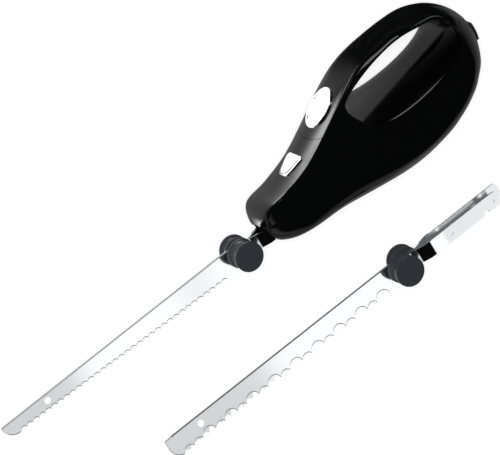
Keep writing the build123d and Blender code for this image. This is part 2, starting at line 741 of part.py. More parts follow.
brush_mid_x = (commutator_x[0] + commutator_x[1]) / 2
brush = block(brush_mid_x - brush_size / 2, brush_mid_x + brush_size / 2, shaft_y - brush_size / 2,
              shaft_y + brush_size / 2, commutator_radius + shaft_gap, brush_reach)
holder = block(brush_mid_x - brush_size, motor_x[1] - motor_end_thick, shaft_y - brush_size, shaft_y + brush_size,
               commutator_radius + holder_gap, brush_reach + holder_wall)
holder = holder - brush
save("motor_can", can)
save("motor_end_cap", end_cap + holder + flipped(holder))
save("motor_front_bush", front_bush)
save("motor_rear_bush", rear_bush)
save("motor_magnets", magnets)
save("armature_core", core)
save("commutator", commutator)
save("motor_shaft", motor_shaft)
save("brushes", brush + flipped(brush))

# Rubber rings that hold the motor in its chamber
chamber_radius = sized(17.6)
chamber_x = place_x(24.0, 82.0)
ring_xs = place_x(36.0, 64.0)
ring_width = 6.0
rings = [rod_x(x, x + ring_width, shaft_y, 0, chamber_radius) - rod_x(x, x + ring_width, shaft_y, 0, motor_radius)
         for x in ring_xs]
save("motor_rings", Compound(rings))

# Housing halves: hollow round the gearbox, the motor, the switch and the rectifier board
front_cavity_half = 13.2
front_cavity_x = place_x(-66.5, 28.0)
cavity_low_y = gearbox_low_y - gearbox_floor_thick
grip_cavity_half = 9.0
grip_cavity_x = place_x(100.0)
board_x = place_x(87.0)
board_thick = 1.6
board_y = place_y(-7.5, 13.0)
board_half_width = 11.0
board_cavity_x = place_x(99.0)
port_x = place_x(-78.0, -68.0)
port_y = place_y(-8.4, 9.0)
port_half_width = 9.6
port_recess = 1.0
port_slot_y = place_y(-7.2, 7.4)
port_slot_z = (0.5, 8.2)

inlet_y = place_y(18.0, 31.5)
inlet_half_width = 6.0
inlet_inner_x = place_x(117.0)
inlet_proud = 0.9
inlet_bore_y = place_y(24.75)
inlet_bore_radius = 3.6
lead_channel_half = 5.0

inner_prism = outline_prism(cover_depth, -front_cavity_half, front_cavity_half)
keep_out = Pos(0, 0, -body_half_width) * extrude(make_face(opening_edge(opening_mid, opening_wall)),
                                                 amount=body_half_width * 2)
front_space = block(front_cavity_x[0], front_cavity_x[1], cavity_low_y, top_limit, -front_cavity_half, front_cavity_half)
front_space = front_space & inner_prism
grip_space = block(front_cavity_x[1], grip_cavity_x, opening_mid[3], top_limit, -grip_cavity_half, grip_cavity_half)
grip_space = (grip_space & inner_prism) - keep_out
cavity = (front_space - keep_out) + grip_space
cavity = cavity + rod_x(*chamber_x, shaft_y, 0, chamber_radius)
cavity = cavity + block(chamber_x[1] - overrun, board_cavity_x, *board_y, -board_half_width, board_half_width)
lead_start = (board_cavity_x + board_x) / 2
lead_channel = block(board_cavity_x - overrun, inlet_inner_x, 0, board_y[1], -lead_channel_half, lead_channel_half)
lead_channel = lead_channel + block(inlet_inner_x - overrun, inlet_inner_x, 0, inlet_bore_y + inlet_bore_radius,
                                    -lead_channel_half, lead_channel_half)
cavity = cavity + lead_channel
port_hole = block(port_x[0] - overrun, front_cavity_x[0] + overrun, *port_y, -port_half_width, port_half_width)
inlet_block = block(inlet_inner_x, rear_limit + overrun, *inlet_y, -inlet_half_width, inlet_half_width)

blade_port = (block(*port_x, *port_y, -port_half_width, port_half_width)
              & outline_prism(port_recess, -port_half_width, port_half_width))
port_slot = block(port_x[0] - overrun, port_x[1] + overrun, *port_slot_y, *port_slot_z)
blade_port = blade_port - port_slot - flipped(port_slot)
save("blade_port", blade_port)

cord_inlet = inlet_block & outline_prism(-inlet_proud, -inlet_half_width, inlet_half_width)
cord_inlet = cord_inlet - rod_x(inlet_inner_x - overrun, rear_limit + overrun, inlet_bore_y, 0, inlet_bore_radius)
save("cord_inlet", cord_inlet)

screw_places = [(-57.0, 13.6), (-20.0, -14.2), (20.0, -17.5), (92.5, -11.9), (118.6, 40.0)]
screw_places = [(place_x(x), place_y(y)) for x, y in screw_places]
screw_radius = 1.4
screw_head_radius = 2.8
screw_head_thick = 2.0
screw_sink = 5.0
screw_reach = 8.0
screw_boss_radius = 3.6

housing_skin = half_body - (band & cover_zone)
cavity = cavity + thumb_pocket
housing_left = housing_skin - cavity - port_hole - inlet_block
housing_right = flipped(housing_skin) - cavity - port_hole - inlet_block
screws = []
for x, y in screw_places:
    depth = width_at(x, y) - screw_sink
    boss = rod_z(x, y, -depth, 0, screw_boss_radius)
    housing_right = housing_right + (boss & flipped(housing_skin))
    housing_left = housing_left + (flipped(boss) & housing_skin)
    shank = rod_z(x, y, -depth, screw_reach, screw_radius)
    head = rod_z(x, y, -depth, screw_head_thick - depth, screw_head_radius)
    housing_right = housing_right - shank - rod_z(x, y, -body_half_width * 2, screw_head_thick - depth, screw_head_radius)
    housing_left = housing_left - shank
    screws.append(shank + head)
save("housing_screws", Compound(screws))
save("housing_left", housing_left)
save("housing_right", housing_right)
save("top_cover", top_cover)
save("nose_cover", nose_cover)

# Switch under the thumb button
switch_x = -6.0
switch_half_length = 7.0
switch_half_width = 5.0
switch_depth = (thumb_stem_depth + thumb_travel + fit_gap, 15.8)
plunger_half = 1.5
plunger_top = thumb_stem_depth + fit_gap
switch_body = along(thumb_plane, Box(switch_half_length * 2, switch_half_width * 2, switch_depth[1] - switch_depth[0]),
                    switch_x, 0, -(switch_depth[0] + switch_depth[1]) / 2)
plunger_sink = 1.5
plunger_low = switch_depth[0] + plunger_sink
well_low = plunger_low + thumb_travel + fit_gap
well_side = (plunger_half + fit_gap) * 2
plunger_well = along(thumb_plane, Box(well_side, well_side, well_low - switch_depth[0]), thumb_stem_back, 0,
                     -(switch_depth[0] + well_low) / 2)
switch_body = switch_body - plunger_well
plunger = along(thumb_plane, Box(plunger_half * 2, plunger_half * 2, plunger_low - plunger_top), thumb_stem_back, 0,
                -(plunger_low + plunger_top) / 2)
bracket_thick = 1.6
switch_bracket = along(thumb_plane, Box(switch_half_length * 2, front_cavity_half * 2, bracket_thick), switch_x, 0,
                       -switch_depth[1] - bracket_thick / 2)
save("switch_bracket", switch_bracket)
save("switch_body", switch_body)
save("switch_plunger", plunger)

# Rectifier board behind the motor
board = block(board_x, board_x + board_thick, *board_y, -board_half_width, board_half_width)
diode_size = (3.0, 4.5, 4.5)
diode_ys = place_y(-4.0, 5.0)
diode_zs = (-7.0, 2.5)
diodes = [block(board_x + board_thick, board_x + board_thick + diode_size[0], y, y + diode_size[1], z, z + diode_size[2])
          for y in diode_ys for z in diode_zs]
save("rectifier_board", board)
save("diodes", Compound(diodes))
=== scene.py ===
import json
from math import atan2, cos, pi, radians, sin

import bmesh
import bpy
import numpy as np
from mathutils import Matrix, Vector


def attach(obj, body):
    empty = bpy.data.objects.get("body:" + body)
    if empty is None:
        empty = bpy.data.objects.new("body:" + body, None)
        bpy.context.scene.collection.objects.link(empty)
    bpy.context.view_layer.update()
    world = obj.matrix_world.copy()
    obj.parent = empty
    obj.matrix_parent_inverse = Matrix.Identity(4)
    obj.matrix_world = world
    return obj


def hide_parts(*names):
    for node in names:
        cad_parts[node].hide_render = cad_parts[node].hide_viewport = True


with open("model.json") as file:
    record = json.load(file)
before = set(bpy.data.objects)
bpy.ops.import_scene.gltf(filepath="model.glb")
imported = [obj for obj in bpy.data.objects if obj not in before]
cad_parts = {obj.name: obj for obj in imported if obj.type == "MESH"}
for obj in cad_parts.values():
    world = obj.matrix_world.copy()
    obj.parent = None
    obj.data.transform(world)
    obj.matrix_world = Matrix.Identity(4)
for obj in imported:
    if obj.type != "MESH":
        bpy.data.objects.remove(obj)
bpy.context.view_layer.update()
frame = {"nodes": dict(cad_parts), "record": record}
scene = bpy.context.scene
MM = 0.001  # metres in a millimetre
MID = 30.0  # height of the knife's middle plane over the table, in millimetres

# Camera: a long lens above the table, in front of the blade tips and over the top of the handle
picture_width, picture_height = 500, 455
px_per_mm = 1.4316
camera_distance = 2.0
to_camera = Vector((-0.264, 0.424, 0.866)).normalized()
level_x = (Vector((1, 0, 0)) - to_camera * to_camera.x).normalized()
level_y = to_camera.cross(level_x)
roll = atan2(0.62, 0.785)
right = level_x * cos(roll) - level_y * sin(roll)
up = level_x * sin(roll) + level_y * cos(roll)
disc_centre = Vector((-100, 0, MID + 13)) * MM
disc_px, disc_py = 248.3, 256.3  # the carving guard's near disc in the picture
from_disc = right * (picture_width / 2 - disc_px) + up * (disc_py - picture_height / 2)
aim = disc_centre + from_disc / px_per_mm * MM
camera = bpy.data.objects.new("camera", bpy.data.cameras.new("camera"))
camera.data.type = 'ORTHO'
camera.data.ortho_scale = picture_width / px_per_mm * MM
camera.data.clip_end = 10
place = Matrix((right, up, to_camera)).transposed().to_4x4()
place.translation = aim + to_camera * camera_distance
camera.matrix_world = place
scene.collection.objects.link(camera)
scene.camera = camera

# Sky: even for plain light; as glossy pieces mirror it, nearly black overhead and bright low toward the blade tips
scene.view_settings.view_transform = 'Standard'
world = bpy.data.worlds.new("studio")
scene.world = world
world.use_nodes = True
tree = world.node_tree
background = tree.nodes["Background"]
background.inputs["Color"].default_value = (1, 1, 1, 1)
direction = tree.nodes.new("ShaderNodeSeparateXYZ")
tree.links.new(tree.nodes.new("ShaderNodeTexCoord").outputs["Generated"], direction.inputs["Vector"])


def ranged(tree, source, low, high, at_low, at_high):
    """A smooth step from one level to another while source goes from low to high."""
    step = tree.nodes.new("ShaderNodeMapRange")
    step.interpolation_type = 'SMOOTHSTEP'
    for socket, value in (("From Min", low), ("From Max", high), ("To Min", at_low), ("To Max", at_high)):
        step.inputs[socket].default_value = value
    tree.links.new(source, step.inputs["Value"])
    return step.outputs["Result"]


def chosen(tree, switch, off, on):
    """The value off or on, by a light path switch."""
    mix = tree.nodes.new("ShaderNodeMix")
    tree.links.new(switch, mix.inputs["Factor"])
    for socket, value in (("A", off), ("B", on)):
        if isinstance(value, float):
            mix.inputs[socket].default_value = value
        else:
            tree.links.new(value, mix.inputs[socket])
    return mix.outputs["Result"]


def chained(tree, operation, first, *others):
    """The values multiplied or added one after another."""
    for other in others:
        step = tree.nodes.new("ShaderNodeMath")
        step.operation = operation
        tree.links.new(first, step.inputs[0])
        tree.links.new(other, step.inputs[1])
        first = step.outputs["Value"]
    return first


def weighed(tree, source, weights):
    """The dot product of a vector with fixed weights."""
    dot = tree.nodes.new("ShaderNodeVectorMath")
    dot.operation = 'DOT_PRODUCT'
    dot.inputs[1].default_value = weights
    tree.links.new(source, dot.inputs[0])
    return dot.outputs["Value"]


plain_sky, seen_sky = 0.42, 1.0
light_path = tree.nodes.new("ShaderNodeLightPath")
toward_tips = ranged(tree, direction.outputs["X"], -0.9, 0.2, 0.95, 0.30)
toward_belly = ranged(tree, direction.outputs["Y"], -0.6, 0.6, 0.6, 0.25)
overhead = ranged(tree, direction.outputs["Z"], 0.12, 0.50, 1.0, 0.015)
mirrored = chained(tree, 'MULTIPLY', toward_tips, toward_belly, overhead)
level = chosen(tree, light_path.outputs["Is Glossy Ray"], plain_sky, mirrored)
level = chosen(tree, light_path.outputs["Is Camera Ray"], level, seen_sky)
tree.links.new(level, background.inputs["Strength"])


# Key: a wide soft lamp from beside the lens, which reflections don't show
def lamp_object(name, data, centre, target):
    """Places a lamp at centre and turns it to face target, both in millimetres."""
    lamp = bpy.data.objects.new(name, data)
    lamp.location = Vector(centre) * MM
    lamp.rotation_euler = (Vector(centre) - Vector(target)).to_track_quat('Z', 'Y').to_euler()
    lamp.visible_camera = False
    scene.collection.objects.link(lamp)
    return lamp


key_data = bpy.data.lights.new("key", 'SUN')
key_data.energy = 3.0
key_data.angle = radians(14)
key = lamp_object("key", key_data, to_camera * 1000, (0, 0, 0))
key.visible_glossy = False

# Soft panels: a wide one lights the blades alone, from every side, and small ones in two rows give the blades the
# bright and dull bands of the photo; one glints in the finger opening's rim, two are mirrored by the plated buttons
blade_pieces = bpy.data.collections.new("blade_pieces")
plated_pieces = bpy.data.collections.new("plated_pieces")


def soft_panel(name, centre, target, size, glow, receivers=None, diffuse=True):
    """A rectangular lamp; glow is the brightness of its face, and receivers are the only pieces that it lights."""
    data = bpy.data.lights.new(name, 'AREA')
    data.shape = 'RECTANGLE'
    data.size, data.size_y = size[0] * MM, size[1] * MM
    data.energy = glow * pi * data.size * data.size_y
    lamp = lamp_object(name, data, centre, target)
    lamp.visible_diffuse = diffuse
    if receivers is not None:
        lamp.light_linking.receiver_collection = receivers


panel_height = 500
carving_row, carving_depth = -245, 110
bread_row, bread_depth = -360, 120
soft_panel("blade_sky", (0, -300, 1500), (0, -300, 0), (5000, 5000), 0.80, blade_pieces)
for name, x, y, width, depth, glow in (
        ("carving_middle", -57, carving_row, 92, carving_depth, 0.52),
        ("carving_dip", 1, carving_row, 24, carving_depth, 0.25),
        ("carving_heel", 32, carving_row, 36, carving_depth, 0.54),
        ("carving_tang", 100, carving_row, 100, carving_depth, 0.2),
        ("bread_middle", 94, bread_row, 132, bread_depth, 0.5),
        ("bread_heel", 180, bread_row, 40, bread_depth, 0.2),
        ("bread_tang", 270, bread_row, 140, bread_depth, 0.25)):
    soft_panel(name, (x, y, panel_height), (x, y, 0), (width, depth), glow, blade_pieces)
soft_panel("rim_panel", (320, 600, 850), (60, 60, 40), (380, 200), 3.0, diffuse=False)
soft_panel("button_panel", (-15, 95, 2), (-15, 95, 90), (170, 110), 1.0, plated_pieces, diffuse=False)
soft_panel("button_sky", (-120, 400, 240), (-10, 50, 30), (420, 420), 0.95, plated_pieces, diffuse=False)

# Table: a white ground that takes the object's soft shadow. Seen by the camera it mostly gives its own light; mirrored
# by glossy pieces it is darker beside the strip and toward the rear, with a bright pool by the strip and at the nose
floor_half, floor_level = 3.0, -0.0004
floor_mesh = bpy.data.meshes.new("floor")
floor_mesh.from_pydata([(x * floor_half, y * floor_half, floor_level) for x, y in ((-1, -1), (1, -1), (1, 1), (-1, 1))],
                       [], [(0, 1, 2, 3)])
floor = bpy.data.objects.new("floor", floor_mesh)
scene.collection.objects.link(floor)


def plain_material(name, colour, roughness, metallic=0.0, specular=0.5, coat=0.0, coat_roughness=0.05):
    """A material with one colour and one roughness."""
    material = bpy.data.materials.new(name)
    material.use_nodes = True
    shader = material.node_tree.nodes["Principled BSDF"]
    shader.inputs["Base Color"].default_value = (*colour, 1)
    shader.inputs["Roughness"].default_value = roughness
    shader.inputs["Metallic"].default_value = metallic
    shader.inputs["Specular IOR Level"].default_value = specular
    shader.inputs["Coat Weight"].default_value = coat
    shader.inputs["Coat Roughness"].default_value = coat_roughness
    return material


ground = plain_material("ground", (0.98, 0.98, 0.98), 1.0, specular=0.0)
tree = ground.node_tree
glossy_ray = tree.nodes.new("ShaderNodeLightPath").outputs["Is Glossy Ray"]
floor_place = tree.nodes.new("ShaderNodeNewGeometry").outputs["Position"]
floor_axes = tree.nodes.new("ShaderNodeSeparateXYZ")
tree.links.new(floor_place, floor_axes.inputs["Vector"])
floor_x, floor_y = floor_axes.outputs["X"], floor_axes.outputs["Y"]
beyond_strip = weighed(tree, floor_place, (-0.45, 1.0, 0.0))
close_by = ranged(tree, beyond_strip, 0.030, 0.055, 0.18, 0.54)
toward_rear = ranged(tree, floor_x, 0.0, 0.045, 1.0, 0.05)
beyond_grip = ranged(tree, floor_y, 0.050, 0.070, 0.0, 1.0)
shaded = chained(tree, 'MULTIPLY', close_by, chosen(tree, beyond_grip, 1.0, toward_rear))
strip_pool = chained(tree, 'MULTIPLY', ranged(tree, floor_x, -0.070, -0.038, 0.0, 1.0),
                     ranged(tree, floor_x, -0.042, -0.008, 1.0, 0.0),
                     ranged(tree, beyond_strip, 0.062, 0.125, 0.0, 8.0))
nose_pool = chained(tree, 'MULTIPLY', ranged(tree, floor_x, -0.150, -0.120, 0.0, 1.0),
                    ranged(tree, floor_x, -0.104, -0.090, 4.5, 0.0),
                    ranged(tree, floor_y, -0.045, -0.020, 0.0, 1.0),
                    ranged(tree, floor_y, 0.000, 0.016, 1.0, 0.0))
mirrored_floor = chained(tree, 'ADD', strip_pool, nose_pool, shaded)
own_share, own_strength = 0.75, 1.0
own_light = tree.nodes.new("ShaderNodeEmission")
tree.links.new(chosen(tree, glossy_ray, own_strength, mirrored_floor), own_light.inputs["Strength"])
cover_up = tree.nodes.new("ShaderNodeMixShader")
tree.links.new(chosen(tree, glossy_ray, own_share, 1.0), cover_up.inputs["Fac"])
tree.links.new(tree.nodes["Principled BSDF"].outputs["BSDF"], cover_up.inputs[1])
tree.links.new(own_light.outputs["Emission"], cover_up.inputs[2])
tree.links.new(cover_up.outputs["Shader"], tree.nodes["Material Output"].inputs["Surface"])
floor_mesh.materials.append(ground)

# Body outline: a closed curve through a few shares of the body's length and height, nose first, over the top
body_length, body_height, body_half = 208.5, 100.5, 30.0
nose_x, belly_y = -79.5, -27.5
outline_shares = [(0.0, 0.30), (0.028, 0.468), (0.109, 0.49), (0.246, 0.59), (0.428, 0.806),
                  (0.549, 0.934), (0.754, 1.0), (0.898, 0.915), (0.999, 0.551), (0.925, 0.229),
                  (0.779, 0.057), (0.536, 0.0), (0.253, 0.088), (0.063, 0.15)]
opening_shares = [(0.0, 0.60), (0.05, 0.22), (0.23, 0.035), (0.502, 0.0), (0.751, 0.10), (0.945, 0.345),
                  (1.0, 0.62), (0.94, 0.875), (0.70, 0.99), (0.368, 0.94), (0.12, 0.7625)]
opening_mid = np.array([20.0, 104.0, 40.5, 61.5])
opening_rim = np.array([11.0, 117.0, 16.5, 65.5])
opening_reach = 32.0


def closed_spline(points, samples):
    """A periodic cubic curve through points, knots spaced by chord length; returns even samples by length."""
    p = np.asarray(points, float)
    n = len(p)
    h = np.linalg.norm(np.roll(p, -1, 0) - p, axis=1)
    before = np.roll(h, 1)
    rise = (np.roll(p, -1, 0) - p) / h[:, None]
    a = np.zeros((n, n))
    rows = np.arange(n)
    a[rows, rows] = 2 * (before + h)
    a[rows, (rows - 1) % n] = before
    a[rows, (rows + 1) % n] = h
    bend = np.linalg.solve(a, 6 * (rise - np.roll(rise, 1, 0)))
    t = np.linspace(0, 1, 200, endpoint=False)[None, :, None]
    h3, p0, p1 = h[:, None, None], p[:, None], np.roll(p, -1, 0)[:, None]
    m0, m1 = bend[:, None], np.roll(bend, -1, 0)[:, None]
    fine = (m0 * (1 - t) ** 3 + m1 * t ** 3) * h3 ** 2 / 6 \
        + (p0 - m0 * h3 ** 2 / 6) * (1 - t) + (p1 - m1 * h3 ** 2 / 6) * t
    fine = fine.reshape(-1, p.shape[1])
    closed = np.vstack([fine, fine[:1]])
    run = np.concatenate([[0], np.cumsum(np.linalg.norm(np.diff(closed, axis=0), axis=1))])
    spots = np.asarray(samples, float) if np.ndim(samples) else np.linspace(0, 1, samples, endpoint=False)
    return np.stack([np.interp(spots * run[-1], run, closed[:, k]) for k in range(closed.shape[1])], -1)


outline_points = [(nose_x + a * body_length, belly_y + b * body_height) for a, b in outline_shares]
ring = closed_spline(outline_points, 1500)
ring = np.roll(ring, -ring[:, 0].argmin(), axis=0)
rear_index = ring[:, 0].argmax()
swell, swell_x, swell_reach = 2.0, -48, 17  # the strip stands a little fuller by the nose
valley_swell = swell * np.exp(-((ring[:rear_index, 0] - swell_x) / swell_reach) ** 2)
ring_step = np.gradient(ring, axis=0)[:rear_index]
ring[:rear_index] += valley_swell[:, None] * np.stack([-ring_step[:, 1], ring_step[:, 0]], -1) \
    / np.linalg.norm(ring_step, axis=1)[:, None]
top_chain, low_chain = ring[:rear_index + 1], np.vstack([ring[rear_index:], ring[:1]])


def ease(value, low, high):
    """A smooth step from 0 to 1 while value goes from low to high."""
    t = np.clip((value - low) / (high - low), 0, 1)
    return t * t * (3 - 2 * t)


def depth_from(chain, x, y):
    """Signed distance into the body from one side of its outline, and the nearest place on it."""
    along = np.gradient(chain, axis=0)
    depth, foot = np.empty(x.size), np.empty((x.size, 2))
    for part in np.array_split(np.arange(x.size), max(1, x.size // 20000)):
        dx = x.flat[part][:, None] - chain[:, 0]
        dy = y.flat[part][:, None] - chain[:, 1]
        k = (dx * dx + dy * dy).argmin(1)
        ex, ey = x.flat[part] - chain[k, 0], y.flat[part] - chain[k, 1]
        side = ex * along[k, 1] - ey * along[k, 0]
        depth[part] = side / np.hypot(along[k, 0], along[k, 1])
        foot[part] = chain[k]
    return depth.reshape(x.shape), foot.reshape(*x.shape, 2)


def rolled(depth, edge, full, reach):
    """A width that rolls over from edge at the outline to full at a depth of reach."""
    inside = np.sin(pi / 2 * np.clip(depth / reach, 0, 1))
    outside = np.maximum(depth / reach, -1) * pi / 2
    return edge + (full - edge) * np.where(depth < 0, outside, inside)


def width_law(x, y):
    """How far the skin stands from the middle plane at (x, y): the least of three limits, softly blended.
    front flare 17.5 + 0.42 d, grip roll 8 to 16.5 (26.5 at the rear), belly roll 9 to 34, plan taper 0.51 b^2;
    power mean of order -14."""
    full = body_half + 4.0
    top_depth, top_foot = depth_from(top_chain, x, y)
    low_depth, low_foot = depth_from(low_chain, x, y)
    front = 17.5 + 0.42 * top_depth
    flare = 0.25 + 0.6 * (1 - ease(top_foot[..., 1], 15.0, 50.0))
    fill = ease(top_foot[..., 0], 70.0, 110.0)
    grip = rolled(top_depth, 8.0, 16.5 + 10.0 * fill, 10.0 + 6.0 * fill)
    grip = grip + flare * np.maximum(top_depth - 10.0, 0) + 0.6 * np.maximum(top_depth - 30.0, 0)
    rear = ease(top_foot[..., 0], 15.0, 75.0)
    top_width = front * (1 - rear) + grip * rear
    low_width = rolled(low_depth, 9.0, full, 24.0)
    back = np.maximum(45.0 - x, 0) / (45.0 - nose_x)
    plan = full * (1 - 0.51 * back ** 2) * (0.55 + 0.45 * ease(x, nose_x - 8, nose_x + 8))
    widths = np.maximum(np.stack([top_width, low_width, plan]), 3.0)
    return (widths ** -14.0).sum(0) ** (-1 / 14)


def spline_basis(knots, fine):
    """Natural cubic splines that are 1 at one knot and 0 at the others, one column per knot, at fine places."""
    n = len(knots)
    h = np.diff(knots)
    a, b = np.zeros((n, n)), np.zeros((n, n))
    a[0, 0] = a[-1, -1] = 1
    i = np.arange(1, n - 1)
    a[i, i - 1], a[i, i], a[i, i + 1] = h[:-1], 2 * (h[:-1] + h[1:]), h[1:]
    b[i, i - 1], b[i, i], b[i, i + 1] = 6 / h[:-1], -6 / h[:-1] - 6 / h[1:], 6 / h[1:]
    bend = np.linalg.solve(a, b)
    k = np.clip(np.searchsorted(knots, fine, side='right') - 1, 0, n - 2)
    t = ((fine - knots[k]) / h[k])[:, None]
    step = h[k][:, None]
    one = np.eye(n)
    return one[k] * (1 - t) + one[k + 1] * t - step ** 2 / 6 * (
        bend[k] * ((1 - t) - (1 - t) ** 3) + bend[k + 1] * (t - t ** 3))


# The side surface is drawn through the widths at stations along the body, as the moulds are
stations = nose_x + body_length * np.array([-0.05, 0.0, 0.045, 0.1, 0.17, 0.245, 0.32, 0.405, 0.49, 0.575, 0.66,
                                            0.745, 0.82, 0.89, 0.945, 0.993, 1.05])
levels = np.linspace(belly_y - 8.5, belly_y + body_height + 8.5, 15)
station_widths = width_law(*np.meshgrid(stations, levels, indexing='ij'))
fine_x, fine_y = np.linspace(stations[0], stations[-1], 4001), np.linspace(levels[0], levels[-1], 2401)
basis_x, basis_y = spline_basis(stations, fine_x), spline_basis(levels, fine_y)
least_width, crown_softness = 3.0, 0.35


def half_width(x, y):
    """Width of the splined side at (x, y); w - k ln(1 + exp((w - 30) / k)) keeps its crown under 30 mm."""
    x, y = np.broadcast_arrays(np.asarray(x, float), np.asarray(y, float))
    i = np.clip((x.ravel() - fine_x[0]) / (fine_x[1] - fine_x[0]), 0, len(fine_x) - 1.001)
    j = np.clip((y.ravel() - fine_y[0]) / (fine_y[1] - fine_y[0]), 0, len(fine_y) - 1.001)
    bx = basis_x[i.astype(int)] * (1 - i % 1)[:, None] + basis_x[i.astype(int) + 1] * (i % 1)[:, None]
    by = basis_y[j.astype(int)] * (1 - j % 1)[:, None] + basis_y[j.astype(int) + 1] * (j % 1)[:, None]
    width = np.maximum(((bx @ station_widths) * by).sum(1), least_width).reshape(x.shape)
    return width - crown_softness * np.logaddexp(0, (width - body_half) / crown_softness)


def mesh_piece(name, points, quads, body, slot, material, replaced=(), smooth=True):
    """An object from an array of points in millimetres about the middle plane and an array of quads."""
    mesh = bpy.data.meshes.new(name)
    points = (np.asarray(points, float).reshape(-1, 3) + (0, 0, MID)) * MM
    quads = np.asarray(quads, int)
    used, fresh = np.unique(quads, return_inverse=True)
    points, quads = points[used], fresh.reshape(quads.shape)
    mesh.vertices.add(len(points))
    mesh.vertices.foreach_set("co", points.ravel())
    mesh.loops.add(quads.size)
    mesh.loops.foreach_set("vertex_index", quads.ravel())
    mesh.polygons.add(len(quads))
    mesh.polygons.foreach_set("loop_start", np.arange(0, quads.size, quads.shape[1]))
    mesh.polygons.foreach_set("use_smooth", np.full(len(quads), smooth))
    mesh.update(calc_edges=True)
    work = bmesh.new()
    work.from_mesh(mesh)
    bmesh.ops.remove_doubles(work, verts=work.verts, dist=1e-7)
    bmesh.ops.dissolve_degenerate(work, edges=work.edges, dist=1e-7)
    bmesh.ops.recalc_face_normals(work, faces=work.faces)
    work.to_mesh(mesh)
    work.free()
    mesh.materials.append(material)
    obj = bpy.data.objects.new(name, mesh)
    scene.collection.objects.link(obj)
    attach(obj, body)
    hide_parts(*replaced)
    if slot in ("blade_steel", "rivet_steel"):
        blade_pieces.objects.link(obj)
    return obj


def close_ends(piece):
    """Fills the open ends of a swept piece."""
    work = bmesh.new()
    work.from_mesh(piece.data)
    bmesh.ops.holes_fill(work, edges=[e for e in work.edges if e.is_boundary], sides=0)
    bmesh.ops.recalc_face_normals(work, faces=work.faces)
    work.to_mesh(piece.data)
    work.free()


def grid_quads(rows, columns, wrap_columns=False, keep=None):
    """Quads of a grid of points in row-major order; keep says which cells stay."""
    i = np.arange(rows - 1)
    j = np.arange(columns if wrap_columns else columns - 1)
    i, j = np.meshgrid(i, j, indexing='ij')
    if keep is not None:
        i, j = i[keep], j[keep]
    i2, j2 = i + 1, (j + 1) % columns
    return np.stack([i * columns + j, i2 * columns + j, i2 * columns + j2, i * columns + j2], -1).reshape(-1, 4)


# Body skin: rings from the middle plane, over the outline and the side, and into the handle opening
around, wall_rows = 640, 21
cover_depth, seat_depth = 3.2, 3.45
skin_wall = 1.6
crown_power = 2.5


def opening_point(spots, z):
    """A point of the opening's wall at height z: the oval grows by the square of z from the middle plane."""
    share = (np.asarray(z, float) / opening_reach)[..., None] ** 2
    unit = closed_spline(opening_shares, spots)
    box = opening_mid + (opening_rim - opening_mid) * share
    return np.stack([box[..., 0] + unit[:, 0] * (box[..., 1] - box[..., 0]),
                     box[..., 2] + unit[:, 1] * (box[..., 3] - box[..., 2])], -1)


def corner_radius(x, belly):
    """Radius of the skin's outer corner: full round at the nose, crisp along the strip, soft on the grip."""
    over = np.interp(x, [-78, -66, -54, -44, 10, 60], [2.5, 2.0, 1.5, 1.0, 1.0, 5.0])
    under = np.interp(x, [-78, -60, 130], [4.0, 5.0, 6.0])
    return np.where(belly, under, over)


def strip_sag(x, belly):
    """How far the strip's crown lies below its middle line at its two edges."""
    over = np.interp(x, [-79.5, -50, -30, 0, 60, 128], [0.3, 0.6, 1.8, 2.2, 2.2, 0.8])
    under = np.interp(x, [-79.5, -70, 118, 129], [0.8, 0.0, 0.0, 0.8])
    return np.where(belly, under, over)


def corner_drop(inset, radius):
    """How much a round corner lowers the skin at a distance from the outline: a quarter circle."""
    return radius - np.sqrt(radius ** 2 - np.clip(radius - inset, 0, radius) ** 2)


def edge_at(u):
    """Outline point, inward normal, half width of the wall, corner radius and crown at outline share u."""
    k = np.asarray(u) * len(ring)
    closed = np.vstack([ring, ring[:1]])
    step = np.roll(ring, -1, 0) - np.roll(ring, 1, 0)
    step = np.vstack([step, step[:1]])
    n = np.arange(len(closed))
    edge = np.stack([np.interp(k, n, closed[:, i]) for i in (0, 1)], -1)
    tangent = np.stack([np.interp(k, n, step[:, i]) for i in (0, 1)], -1)
    tangent /= np.linalg.norm(tangent, axis=-1)[..., None]
    inward = np.stack([tangent[..., 1], -tangent[..., 0]], -1)
    belly = k > rear_index
    sag = strip_sag(edge[..., 0], belly)
    crown = edge + inward * sag[..., None]
    return edge, inward, half_width(crown[..., 0], crown[..., 1]), corner_radius(edge[..., 0], belly), sag


def skin_height(xy):
    """Height of the skin over any place in the side view, with the round corner along the outline."""
    x, y = xy[..., 0], xy[..., 1]
    top_depth, top_foot = depth_from(top_chain, x, y)
    low_depth, low_foot = depth_from(low_chain, x, y)
    drop = np.maximum(
        corner_drop(top_depth - strip_sag(top_foot[..., 0], False), corner_radius(top_foot[..., 0], False)),
        corner_drop(low_depth - strip_sag(low_foot[..., 0], True), corner_radius(low_foot[..., 0], True)))
    return half_width(x, y) - drop


def profile(u, q):
    """Skin near the outline: q from 0 to 1 climbs the wall, from 1 to 2 turns inward to the cover's depth."""
    edge, inward, wall, radius, sag = edge_at(u)
    least = 0.5
    inset = sag * np.clip(q, 0, 1) ** crown_power + np.clip(q - 1, 0, 1) * (cover_depth - sag)
    xy = edge + inward * inset[..., None]
    z = np.where(q < 1, np.maximum(wall - radius, least) * np.clip(q, 0, 1),
                 np.maximum(half_width(xy[..., 0], xy[..., 1]) - corner_drop(inset - sag, radius), least))
    return np.concatenate([xy, z[..., None]], -1)


